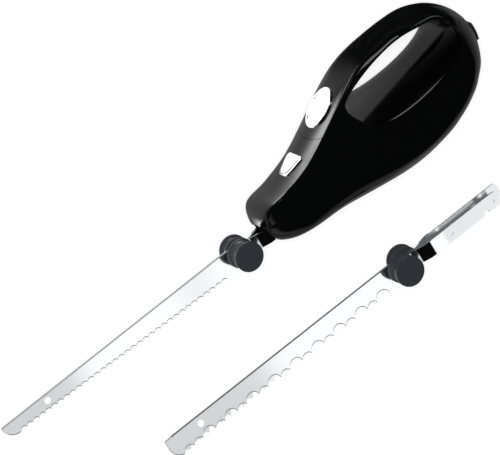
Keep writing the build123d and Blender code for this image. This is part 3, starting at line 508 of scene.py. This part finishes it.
def relaxed(rows, rounds):
    """Evens out a band of closed rings between its first and last one, by the elliptic grid equation
    a P_uu - 2 b P_ut + c P_tt = 0, with a = |P_t|^2, b = P_u . P_t, c = |P_u|^2, so that no cell folds."""
    for _ in range(rounds):
        middle = rows[1:-1]
        east, west = np.roll(middle, -1, 1), np.roll(middle, 1, 1)
        du, dt = (east - west) / 2, (rows[2:] - rows[:-2]) / 2
        a, b, c = [(left * right).sum(-1)[..., None] for left, right in ((dt, dt), (du, dt), (du, du))]
        cross = np.roll(rows[2:], -1, 1) - np.roll(rows[2:], 1, 1) \
            - np.roll(rows[:-2], -1, 1) + np.roll(rows[:-2], 1, 1)
        rows[1:-1] = (a * (east + west) + c * (rows[2:] + rows[:-2]) - b / 2 * cross) / (2 * (a + c))
    return rows


def band_between(outer, inner, coarse_rows=28, ratio=4):
    """Rings from outer to inner: a coarse band is relaxed first, then split by ratio and relaxed again."""
    first, last = outer[::ratio], inner[::ratio]
    rows = relaxed(np.stack([first + (last - first) * t for t in np.linspace(0, 1, coarse_rows + 1)]), 600)
    for axis in (0, 1):
        count = rows.shape[axis]
        spots = np.arange((count - 1 + axis) * ratio + 1 - axis) / ratio
        k = np.minimum(spots.astype(int), count - 2 + axis)
        part = (spots - k).reshape((-1, 1, 1) if axis == 0 else (1, -1, 1))
        rows = np.take(rows, k, axis) * (1 - part) + np.take(rows, (k + 1) % count, axis) * part
    rows[0], rows[-1] = outer, inner
    return relaxed(rows, 150)


fine_shares = np.arange(around) / around
nose_end = np.interp(9.0, top_chain[:200, 1], np.arange(200)) / len(ring)
past_top = top_chain[:, 1].argmax()
rear_end = np.interp(-32.0, -top_chain[past_top:, 1], np.arange(past_top, len(top_chain))) / len(ring)
under_cover = (fine_shares > nose_end) & (fine_shares < rear_end)
wall_steps = np.linspace(0, 1, 17)[:-1]
corner_steps = 1 + np.linspace(0, 1, 12) ** 1.6


def skin_rows():
    """Rows of points, outline to opening, for the left half; under the covers the skin drops to their seat."""
    u = fine_shares
    edge, inward, _, radius, sag = edge_at(u)
    seat = edge + inward * seat_depth
    seat_top = half_width(seat[:, 0], seat[:, 1]) - corner_drop(seat_depth - sag, radius)
    full_climb = 2.1  # more than the last q, which is 2, so that no row meets the seat's own row
    rows = []
    for q in np.concatenate([wall_steps, corner_steps]):
        row = profile(u, np.full(around, q))
        low = np.concatenate([seat, (seat_top * q / full_climb)[:, None]], -1)
        rows.append(np.where(under_cover[:, None], low, row))
    unit = closed_spline(opening_shares, 2000)
    leftmost = unit[:, 0].argmin() / len(unit)
    outline_turn, opening_turn = [0.0, 0.30, 0.42, 0.55, 0.72, 1.0], [0.0, 0.20, 0.36, 0.50, 0.72, 1.0]
    turn = (leftmost - np.interp(u, outline_turn, opening_turn)) % 1.0
    low, high = np.zeros(around), np.full(around, opening_reach)
    for _ in range(24):
        middle = (low + high) / 2
        at = opening_point(turn, middle)
        above = skin_height(at) > middle
        low, high = np.where(above, middle, low), np.where(above, high, middle)
    rim_z = (low + high) / 2
    rim = opening_point(turn, rim_z)
    for mix in band_between(seat, rim):
        rows.append(np.concatenate([mix, skin_height(mix)[:, None]], -1))
    for step in np.linspace(0, 1, wall_rows + 1):
        z = rim_z * (1 - step)
        rows.append(np.concatenate([opening_point(turn, z), z[:, None]], -1))
    return np.stack(rows)


def thicken(obj, thickness):
    """Gives an open skin a wall on its inner side."""
    shell = obj.modifiers.new("wall", 'SOLIDIFY')
    shell.thickness = thickness * MM
    shell.offset = -1
    return obj


left_skin = skin_rows()
cell_x, cell_y, cell_z = np.moveaxis(left_skin[:-1], -1, 0)
port_cells = (cell_x < -70) & (cell_y > -8.2) & (cell_y < 8.6) & (cell_z < 9.4)
inlet_cells = (cell_x > 122) & (cell_y > 18) & (cell_y < 31.5) & (cell_z < 5.9)
skin_quads = grid_quads(len(left_skin), around, wrap_columns=True, keep=~(port_cells | inlet_cells))
black = (0.0014, 0.0015, 0.0016)
gloss_black = plain_material("gloss_black", black, 0.07)
body_left, body_right = [
    thicken(mesh_piece(f"body_{hand}", left_skin * (1, 1, side), skin_quads, "body", "gloss_black_plastic",
                       gloss_black, [f"housing_{hand}"]), skin_wall)
    for hand, side in (("left", 1), ("right", -1))]

# Grip wall: the finger opening's wall, whose lower part is toned grey, in place of a soft reflection, up to a plane
# that runs along the camera's line of sight
grip_wall = plain_material("grip_wall_black", black, 0.12)
tree = grip_wall.node_tree
wall_place = tree.nodes.new("ShaderNodeTexCoord")
across_picture = weighed(tree, wall_place.outputs["Object"], (245.1, -1235.3, 679.5))  # pixels to the lower right
facing_strip = weighed(tree, wall_place.outputs["Normal"], (0.3, 0.95, 0.0))
sheen = chained(tree, 'MULTIPLY', ranged(tree, across_picture, -34.0, 0.0, 0.11, 0.03),
                ranged(tree, across_picture, -1.0, 3.0, 1.0, 0.02), ranged(tree, facing_strip, 0.0, 0.4, 0.02, 1.0))
grey = tree.nodes.new("ShaderNodeCombineColor")
for channel in ("Red", "Green", "Blue"):
    tree.links.new(sheen, grey.inputs[channel])
tree.links.new(grey.outputs["Color"], tree.nodes["Principled BSDF"].inputs["Base Color"])
for body in (body_left, body_right):
    body.data.materials.append(grip_wall)
    wall_faces = np.zeros(len(body.data.polygons), dtype=np.int32)
    wall_faces[-wall_rows * around:] = 1
    body.data.polygons.foreach_set("material_index", wall_faces)

# Port: a matt black moulding a little behind the nose's skin, with a slot for each tang
port_rows, port_columns = 30, 41
port_y, port_z = np.linspace(-8.2, 8.6, port_rows), np.linspace(-9.3, 9.3, port_columns)
port_back_x, port_recess = -66.0, 1.3
nose_line = ring[np.argsort(ring[:, 1])]
nose_line = nose_line[nose_line[:, 0] < -50]


def port_front(y, z):
    """Where the skin's nose stands at (y, z), moved back by the recess."""
    insets = np.linspace(0, 9, 60)
    x0 = np.interp(y, nose_line[:, 1], nose_line[:, 0])
    spots = [x0[..., None] + insets, np.broadcast_to(y[..., None], y.shape + insets.shape)]
    heights = skin_height(np.stack(spots, -1))
    return x0 + insets[(heights < np.abs(z)[..., None]).sum(-1).clip(0, len(insets) - 1)] + port_recess


grid_y, grid_z = np.meshgrid(port_y, port_z, indexing='ij')
port_face = np.stack([port_front(grid_y, grid_z), grid_y, grid_z], -1)
port_back = np.stack([np.full(grid_y.shape, port_back_x), grid_y, grid_z], -1)
port_black = plain_material("port_black", (0.003, 0.003, 0.003), 0.5, specular=0.2)
face_quads = grid_quads(port_rows, port_columns)
last_row, last_column = port_rows - 1, port_columns - 1
border = np.concatenate([np.arange(port_columns), np.arange(1, port_rows) * port_columns + last_column,
                         last_row * port_columns + np.arange(last_column - 1, -1, -1),
                         np.arange(last_row - 1, 0, -1) * port_columns])
border_next = np.roll(border, -1)
wall_quads = np.stack([border, border_next, border_next + grid_y.size, border + grid_y.size], -1)
port = mesh_piece("port_moulding", np.concatenate([port_face.reshape(-1, 3), port_back.reshape(-1, 3)]),
                  np.concatenate([face_quads, face_quads[:, ::-1] + grid_y.size, wall_quads]), "body",
                  "satin_black_plastic", port_black, ["blade_port"])

# Covers: a glossy strip over the nose and one over the handle, each a closed bar 3.2 mm deep, which meet at a seam
# that curves toward the nose in the middle of the strip
seam_x, seam_radius, seam_gap = -16.0, 43.0, 0.3


def seam_share(z, gap):
    """Outline share of the seam's near or far side at height z."""
    radius = seam_radius + gap
    x = seam_x + seam_radius - np.sqrt(radius ** 2 - np.minimum(np.abs(z), radius - 1) ** 2)
    return np.interp(x, top_chain[:past_top, 0], np.arange(past_top)) / len(ring)


def cover_piece(name, node, far_end, columns, gap, seam_first):
    """Sweeps the strip's section along the outline, between its far end and the seam's curve."""
    under_points = 9
    steps = np.concatenate([wall_steps, corner_steps])
    half_steps = np.concatenate([-steps[::-1], steps[1:]])
    guess = profile(np.full(steps.shape, seam_share(0.0, 0.0)), steps)[:, 2]
    heights = np.concatenate([-guess[::-1], guess[1:]])
    across = np.concatenate([heights, np.linspace(heights[-1], heights[0], under_points)[1:-1]])
    cut = seam_share(across, gap)
    far = np.full(cut.shape, far_end)
    first, last = (cut, far) if seam_first else (far, cut)
    u = first + (last - first) * np.linspace(0, 1, columns)[:, None]
    outer = half_steps.size
    skin = profile(u[:, :outer], np.broadcast_to(np.abs(half_steps), (columns, outer)))
    skin[..., 2] *= np.sign(half_steps)
    edge, inward, _, radius, sag = edge_at(u[:, outer:])
    floor_xy = edge + inward * cover_depth
    side = half_width(floor_xy[..., 0], floor_xy[..., 1]) - corner_drop(cover_depth - sag, radius)
    share = np.linspace(1, -1, under_points)[1:-1]
    under = np.concatenate([floor_xy, (side * share)[..., None]], -1)
    points = np.concatenate([skin, under], 1)
    quads = grid_quads(columns, points.shape[1], wrap_columns=True)
    piece = mesh_piece(name, points, quads, "body", "gloss_black_plastic", gloss_black, [node])
    close_ends(piece)
    return piece


nose_strip = cover_piece("nose_cover_strip", "nose_cover", nose_end, 150, seam_gap, False)
top_strip = cover_piece("handle_cover_strip", "top_cover", rear_end, 360, 0.0, True)


def cut_hole(obj, points, depth):
    """Cuts a prism through a piece: points is the ring's middle plane, depth its half length as a vector.
    A ring that runs clockwise about depth turns the prism inside out, and then nothing is cut."""
    ring_points = np.asarray(points, float) + (0, 0, MID)
    n = len(ring_points)
    stack = np.concatenate([ring_points - depth, ring_points + depth]) * MM
    mesh = bpy.data.meshes.new("cutter")
    faces = [(i, (i + 1) % n, n + (i + 1) % n, n + i) for i in range(n)]
    mesh.from_pydata(stack.tolist(), [], faces + [tuple(range(n))[::-1], tuple(range(n, 2 * n))])
    cutter = bpy.data.objects.new("cutter", mesh)
    scene.collection.objects.link(cutter)
    change = obj.modifiers.new("hole", 'BOOLEAN')
    change.object, change.operation, change.solver = cutter, 'DIFFERENCE', 'EXACT'
    bpy.context.view_layer.update()
    cut = bpy.data.meshes.new_from_object(obj.evaluated_get(bpy.context.evaluated_depsgraph_get()))
    obj.modifiers.remove(change)
    obj.data = cut
    bpy.data.objects.remove(cutter)
    cut.set_sharp_from_angle(angle=radians(32))


def top_frame(x):
    """Origin, direction to the rear and outward normal of the strip at x."""
    line, n = top_chain[:past_top], np.arange(past_top)
    k = np.interp(x, line[:, 0], n)
    at, ahead, behind = [np.array([np.interp(spot, n, line[:, i]) for i in (0, 1)]) for spot in (k, k + 8, k - 8)]
    along = (ahead - behind) / np.linalg.norm(ahead - behind)
    return np.array([*at, 0]), np.array([*along, 0]), np.array([-along[1], along[0], 0])


def ring_on(frame_at, ring2):
    """Points (s, w) on the strip's plane as points in space."""
    origin, along, _ = frame_at
    ring2 = np.asarray(ring2, float)
    return origin + ring2[:, :1] * along + ring2[:, 1:] * np.array([0, 0, 1.0])


slot_low, slot_high, slot_x = -7.2, 7.4, -75.0
for low_z, high_z in ((0.5, 8.2), (-8.2, -0.5)):
    slot = np.array([(slot_x, slot_low, low_z), (slot_x, slot_high, low_z), (slot_x, slot_high, high_z),
                     (slot_x, slot_low, high_z)])
    cut_hole(port, slot, np.array([20.0, 0, 0]))

# Thumb button: an oval plated cap with a rounded rim and a shallow dish, on a flange under the handle cover. Its hole
# in the drawn cover isn't cut, since the ring runs clockwise: pressed, the cap goes under the cover and out of sight
thumb_at = top_frame(4.0)
cap_half = np.array([15.7, 13.0])
button_flange, flange_low, half_prism = 1.6, -5.4, 6
quarter = pi / 2
angles = np.linspace(0, 2 * pi, 96, endpoint=False)
oval = np.stack([np.cos(angles), np.sin(angles)], -1)
cut_hole(top_strip, ring_on(thumb_at, oval * (cap_half + 0.45)), thumb_at[2] * half_prism)
chrome = plain_material("chrome", (0.88, 0.89, 0.9), 0.05, metallic=1.0)


def capped_rings(name, frame_at, rings, body, slot, material, replaced):
    """Rings of (s, w) with heights along the strip's normal, closed by a fan at both ends."""
    stack = [ring_on(frame_at, ring2) + frame_at[2] * height for ring2, height in rings]
    n = len(stack[0])
    first, last = [end.mean(0)[None].repeat(n, 0) for end in (stack[0], stack[-1])]
    points = np.concatenate([first, *stack, last])
    return mesh_piece(name, points, grid_quads(len(stack) + 2, n, wrap_columns=True), body, slot, material, replaced)


rings = [(oval * (cap_half + button_flange), flange_low), (oval * (cap_half + button_flange), -3.8)]
rings += [(oval * cap_half, h) for h in (-3.8, -3.0, -1.5, -0.4, 0.0)]
for t in np.linspace(0.1, 1, 8):
    rings.append((oval * (cap_half - 1.1 * (1 - cos(t * quarter))), 1.3 * sin(t * quarter)))
land, dish, dish_floor = cap_half - 1.8, cap_half - 3.4, 0.3
for t in np.linspace(0.15, 1, 6):
    rings.append((oval * (land - 1.6 * t), 1.4 - 1.1 * sin(t * quarter)))
for shrink in np.linspace(0.95, 0.02, 16):
    rings.append((oval * dish * shrink, dish_floor + 0.25 * (1 - shrink ** 2)))
thumb_button = capped_rings("thumb_button_cap", thumb_at, rings, "thumb", "button_chrome", chrome, ["thumb_button"])

# Release button: a plated wedge, wide end to the rear, with a raised middle inside a plain border. Its hole in the
# drawn cover isn't cut either
release_at = top_frame(-36.0)


def wedge_ring(grow, corner=3.6, samples=12):
    """The wedge's rounded outline, grown by grow."""
    half_length, wide, narrow = 9.0 + grow, 10.5 + grow, 6.0 + grow
    corners = np.array([(-half_length, -narrow), (half_length, -wide), (half_length, wide), (-half_length, narrow)])
    points = []
    for i in range(4):
        before, at, after = corners[i - 1], corners[i], corners[(i + 1) % 4]
        a = at + (before - at) / np.linalg.norm(before - at) * corner
        b = at + (after - at) / np.linalg.norm(after - at) * corner
        for t in np.linspace(0, 1, samples):
            points.append(a * (1 - t) ** 2 + 2 * at * t * (1 - t) + b * t * t)
    return np.array(points)


cut_hole(nose_strip, ring_on(release_at, wedge_ring(0.5)), release_at[2] * half_prism)
rings = [(wedge_ring(1.5), flange_low), (wedge_ring(1.5), -4.0)]
rings += [(wedge_ring(0), h) for h in (-4.0, -2.0, -0.5, 0.0)]
rings += [(wedge_ring(-0.8 * (1 - cos(t * quarter))), 1.3 * sin(t * quarter)) for t in np.linspace(0.15, 1, 7)]
rings += [(wedge_ring(-1.5, 3.0), 1.4), (wedge_ring(-1.55, 3.0), 1.45), (wedge_ring(-1.6, 3.0), 2.1),
          (wedge_ring(-1.75, 2.9), 2.2), (wedge_ring(-3.0, 2.0), 2.2), (wedge_ring(-5.0, 0.8), 2.15)]
release_button = capped_rings("release_button_cap", release_at, rings, "release", "button_chrome", chrome,
                              ["release_button"])
for cap in (thumb_button, release_button):
    plated_pieces.objects.link(cap)

# Blades: thin ground plates, one each side of the middle plane, with a hollow-cut edge and a bent tang
steel = plain_material("satin_steel", (0.78, 0.79, 0.80), 0.12, metallic=1.0)
guard_x, spine_y = -100.0, 7.3
tang_end, tang_low, tang_top, tang_round = -14.0, -6.5, 4.5, 3.0
notch_start, notch_end, notch_depth = -29.0, -25.0, 2.5
gap, thick, edge_thick, ground_off = 0.1, 1.1, 0.45, 0.9


def hollow_edge(x, start, end, marks, depths):
    """Height of an edge whose tooth points lie on a line and are joined by round hollows of given depths."""
    share = (x - start[0]) / (end[0] - start[0])
    k = np.clip(np.searchsorted(marks, share, side='right') - 1, 0, len(depths) - 1)
    low, high = marks[k], marks[k + 1]
    length = np.hypot(end[0] - start[0], end[1] - start[1])
    chord = (high - low) * length
    sag = np.asarray(depths)[k]
    radius = (chord ** 2 / 4 + sag ** 2) / (2 * sag)
    along = (np.clip((share - low) / (high - low), 0, 1) - 0.5) * chord
    return start[1] + share * (end[1] - start[1]) + np.sqrt(np.maximum(radius ** 2 - along ** 2, 0)) - (radius - sag)


def bend(x):
    """How far the tang stands out from the blade's plane."""
    return 4.4 * np.clip((x + 89.0) / 11.0, 0, 1)


def blade_piece(name, node, tip, edge, side, body, shift, holes):
    """One blade from its tip to the end of its tang; side is +1 for the left one."""
    start, end, marks, depths, tip_line = edge
    fine = np.linspace(start[0], end[0], 1500)
    nose = start[0] - (start[0] - tip) * (1 - np.linspace(0, 1, 60)[::-1] ** 2)[::-1]
    hair = 0.01
    tang = np.concatenate([np.linspace(end[0] + hair, guard_x - hair, 6), np.linspace(guard_x, -78, 24),
                           [-60, -40, notch_start - hair, notch_start, notch_end, notch_end + hair, -18],
                           tang_end - tang_round + tang_round * np.sin(np.linspace(0, quarter, 10))])
    x = np.concatenate([nose[:-1], fine, tang])
    low = np.where(x < start[0], tip_line(x), hollow_edge(x, start, end, marks, depths))
    low = np.where(x > end[0], end[1] + np.clip((x - end[0]) / (guard_x - end[0]), 0, 1) * 1.5, low)
    behind = x >= guard_x
    past = np.maximum(x - (tang_end - tang_round), 0)
    rounding = tang_round - np.sqrt(np.maximum(tang_round ** 2 - past ** 2, 0))
    top = np.where(behind, tang_top - rounding, spine_y)
    low = np.where(behind, tang_low + rounding, low)
    low = np.where((x >= notch_start) & (x <= notch_end), tang_low + notch_depth, low)
    bevel = np.where(x < end[0], np.minimum(low + ground_off, top - 0.3), low)
    edge_face = np.where(x < end[0], edge_thick, thick)
    base = gap + bend(x)
    ease_top = np.minimum(0.12, (top - low) / 4)
    loop = [(low, base), (low, base + edge_face), (bevel, base + thick), (top - ease_top, base + thick),
            (top, base + thick - ease_top), (top, base)]
    points = np.stack([np.stack([x + shift[0], y + shift[1], side * z + shift[2]], -1) for y, z in loop], 1)
    quads = grid_quads(len(x), 6, wrap_columns=True)
    last = (len(x) - 1) * 6
    caps = [(0, 1, 4, 5), (1, 2, 3, 4), (last + 5, last + 4, last + 1, last), (last + 4, last + 3, last + 2, last + 1)]
    piece = mesh_piece(name, points, np.concatenate([quads, np.array(caps)]), body, "blade_steel", steel, [node],
                       smooth=False)
    for hx, hy, radius in holes:
        circle = np.stack([hx + radius * np.cos(angles[::3]), hy + radius * np.sin(angles[::3]), 0 * angles[::3]], -1)
        cut_hole(piece, circle + shift, np.array([0, 0, 12.0]))
    return piece


def arc(x, first, second, third):
    """The circle through three points over x, its lower or upper half, whichever holds the second point."""
    a = np.array([[second[0] - first[0], second[1] - first[1]], [third[0] - first[0], third[1] - first[1]]]) * 2
    squares = [p[0] ** 2 + p[1] ** 2 for p in (first, second, third)]
    cx, cy = np.linalg.solve(a, [squares[1] - squares[0], squares[2] - squares[0]])
    radius = np.hypot(first[0] - cx, first[1] - cy)
    return cy + np.sign(second[1] - cy) * np.sqrt(np.maximum(radius ** 2 - (x - cx) ** 2, 0))


def carving_tip(x):
    """The carving blade's round nose."""
    return np.minimum(arc(x, (-315.5, spine_y), (-313.0, 0.2), (-304.0, -3.7)), spine_y - 0.05)


def bread_tip(x):
    """The bread blade's blunt round tip and the small hollow behind its chin."""
    chin = (-305.1, -9.8)
    front = arc(x, (-311.5, spine_y), (-313.4, -0.6), chin)
    hollow = arc(x, chin, (-300.9, -6.2), (-296.0, -9.3))
    return np.minimum(np.where(x < chin[0], front, hollow), spine_y - 0.05)


carving_teeth, bread_teeth = 34, 9  # each of the bread blade's teeth is a small hollow and a large one
bread_marks = np.concatenate([[0.0]] + [[(i + 0.43) / bread_teeth, (i + 1) / bread_teeth]
                                        for i in range(bread_teeth)])
edges = {"carving": ((-304.0, -3.7), (-117.8, -10.6), np.linspace(0, 1, carving_teeth + 1),
                     np.full(carving_teeth, 2.2), carving_tip),
         "bread": ((-296.0, -9.3), (-116.5, -9.9), bread_marks, np.array([3.0, 5.4] * bread_teeth), bread_tip)}
tips = {"carving": -315.5, "bread": -313.4}
tang_holes = [(-57.0, -1.2, 1.5), (-19.2, -1.2, 1.5)]
fitted, spare, slip = np.zeros(3), np.array([100.4, -94.8, -17.0]), np.array([6.0, 0, 0])
blades = [("carving", "left", 1, fitted, "left_blade"), ("carving", "right", -1, fitted, "right_blade"),
          ("bread", "left", 1, spare, "spare_left"), ("bread", "right", -1, spare + slip, "spare_right")]
for kind, hand, side, shift, body in blades:
    blade_piece(f"{kind}_steel_{hand}", f"{kind}_blade_{hand}", tips[kind], edges[kind], side, body, shift,
                tang_holes)

# Guards: a satin grey moulding on each blade, a flat disc, a waist and an inner flange turned about one line; the left
# ones are drawn longer and the right ones shorter than their solids, nearer to the photo
guard_satin = plain_material("guard_satin", (0.023, 0.026, 0.031), 0.24)
guard_reach = {"left": 1.22, "right": 0.85}


def turned(name, node, profile_line, centre, side, body, slot, material, segments=96):
    """A shape turned about a line along Z through centre, from (radius, height) pairs."""
    line = np.asarray(profile_line, float)
    turn = np.linspace(0, 2 * pi, segments, endpoint=False)
    points = np.stack([centre[0] + line[:, :1] * np.cos(turn), centre[1] + line[:, :1] * np.sin(turn),
                       centre[2] + side * np.broadcast_to(line[:, 1:], (len(line), segments))], -1)
    piece = mesh_piece(name, points, grid_quads(len(line), segments, wrap_columns=True), body, slot, material, [node])
    piece.data.set_sharp_from_angle(angle=radians(35))
    return piece


def rounded(r0, z0, r1, z1, corner):
    """Four points of a quarter round between two straight runs that meet at corner."""
    return [((1 - t) ** 2 * r0 + 2 * t * (1 - t) * corner[0] + t * t * r1,
             (1 - t) ** 2 * z0 + 2 * t * (1 - t) * corner[1] + t * t * z1) for t in np.linspace(0, 1, 5)]


waist = [(9.0 + 1.75 * t * t, 6.8 + 3.75 * t) for t in np.linspace(-1, 1, 25)]
guard_line = [(0.0, 1.2), (10.4, 1.2)] + rounded(10.4, 1.2, 10.8, 1.6, (10.8, 1.2)) + [(10.8, 2.9)] + waist
guard_line += [(11.0, 11.0)] + rounded(11.0, 12.2, 10.3, 12.8, (11.0, 12.8)) + [(6.0, 12.93), (0.0, 13.0)]
for kind, hand, side, shift, body in blades:
    turned(f"{kind}_guard_moulding_{hand}", f"{kind}_guard_{hand}", np.array(guard_line) * (1, guard_reach[hand]),
           shift + (guard_x, 0, 0), side, body, "guard_plastic", guard_satin)

# Sleeves: a black pad moulded on the outer face of each tang where it enters the handle
sleeve_satin = plain_material("sleeve_satin", (0.002, 0.002, 0.0022), 0.35, specular=0.2)
pad_start, pad_end, pad_round = -84.5, -74.0, 0.3


def sleeve_piece(name, node, side, shift, body):
    """A flat pad with rounded edges that follows the bend of the tang."""
    turn = np.linspace(0.3, quarter, 5)
    x = np.concatenate([[pad_start], pad_start + pad_round * np.sin(turn), np.linspace(-83.7, -74.8, 14),
                        pad_end - pad_round * np.sin(turn[::-1]), [pad_end]])
    edge = np.clip(np.minimum(x - pad_start, pad_end - x) / pad_round, 0, 1)
    rise = 0.8 + pad_round * np.sqrt(1 - (1 - edge) ** 2)
    face = gap + thick + bend(x)
    low, high, halfway = -6.2, 4.5, 0.3 * pad_round
    corners = [(low, 0.0), (low, -pad_round), (low + halfway, -halfway), (low + pad_round, 0.0),
               (high - pad_round, 0.0), (high - halfway, -halfway), (high, -pad_round), (high, 0.0)]
    loop = [(y, face + (rise + dz if 0 < i < 7 else 0)) for i, (y, dz) in enumerate(corners)]
    points = np.stack([np.stack([x + shift[0], np.full(x.shape, y + shift[1]), side * z + shift[2]], -1)
                       for y, z in loop], 1)
    piece = mesh_piece(name, points, grid_quads(len(x), 8, wrap_columns=True), body, "sleeve_plastic", sleeve_satin,
                       [node])
    close_ends(piece)
    piece.data.set_sharp_from_angle(angle=radians(40))


for kind, hand, side, shift, body in blades:
    sleeve_piece(f"{kind}_sleeve_cap_{hand}", f"{kind}_sleeve_{hand}", side, shift, body)

# Finishes of the pieces that keep their construction shape
finishes = {
    "satin_black_plastic": plain_material("satin_black", (0.012, 0.012, 0.013), 0.45),
    "guard_plastic": plain_material("guard_grey", (0.032, 0.036, 0.043), 0.42),
    "sleeve_plastic": plain_material("sleeve_black", (0.008, 0.008, 0.009), 0.4),
    "button_chrome": plain_material("button_chrome", (0.86, 0.87, 0.88), 0.08, metallic=1.0),
    "blade_steel": plain_material("blade_steel", (0.80, 0.81, 0.82), 0.22, metallic=1.0),
    "rivet_steel": plain_material("rivet_steel", (0.95, 0.95, 0.95), 0.3, metallic=0.35),
    "screw_steel": plain_material("screw_steel", (0.5, 0.5, 0.52), 0.35, metallic=1.0),
    "motor_steel": plain_material("motor_steel", (0.55, 0.56, 0.57), 0.35, metallic=1.0),
    "bearing_bronze": plain_material("bearing_bronze", (0.5, 0.3, 0.12), 0.4, metallic=1.0),
    "copper": plain_material("copper", (0.6, 0.28, 0.15), 0.35, metallic=1.0),
    "magnet_ferrite": plain_material("magnet_ferrite", (0.04, 0.04, 0.045), 0.7),
    "ring_rubber": plain_material("ring_rubber", (0.01, 0.01, 0.01), 0.8),
    "white_moulding": plain_material("white_moulding", (0.75, 0.73, 0.68), 0.45),
    "dark_moulding": plain_material("dark_moulding", (0.02, 0.02, 0.022), 0.5),
    "board_laminate": plain_material("board_laminate", (0.03, 0.15, 0.06), 0.4),
}
slots = {row["node"]: row["material_slot"] for row in frame["record"]["subparts"]}
for name, node in frame["nodes"].items():
    if not node.hide_render and slots[name] in finishes:
        node.data.materials.clear()
        node.data.materials.append(finishes[slots[name]])
        if slots[name] == "rivet_steel":
            blade_pieces.objects.link(node)
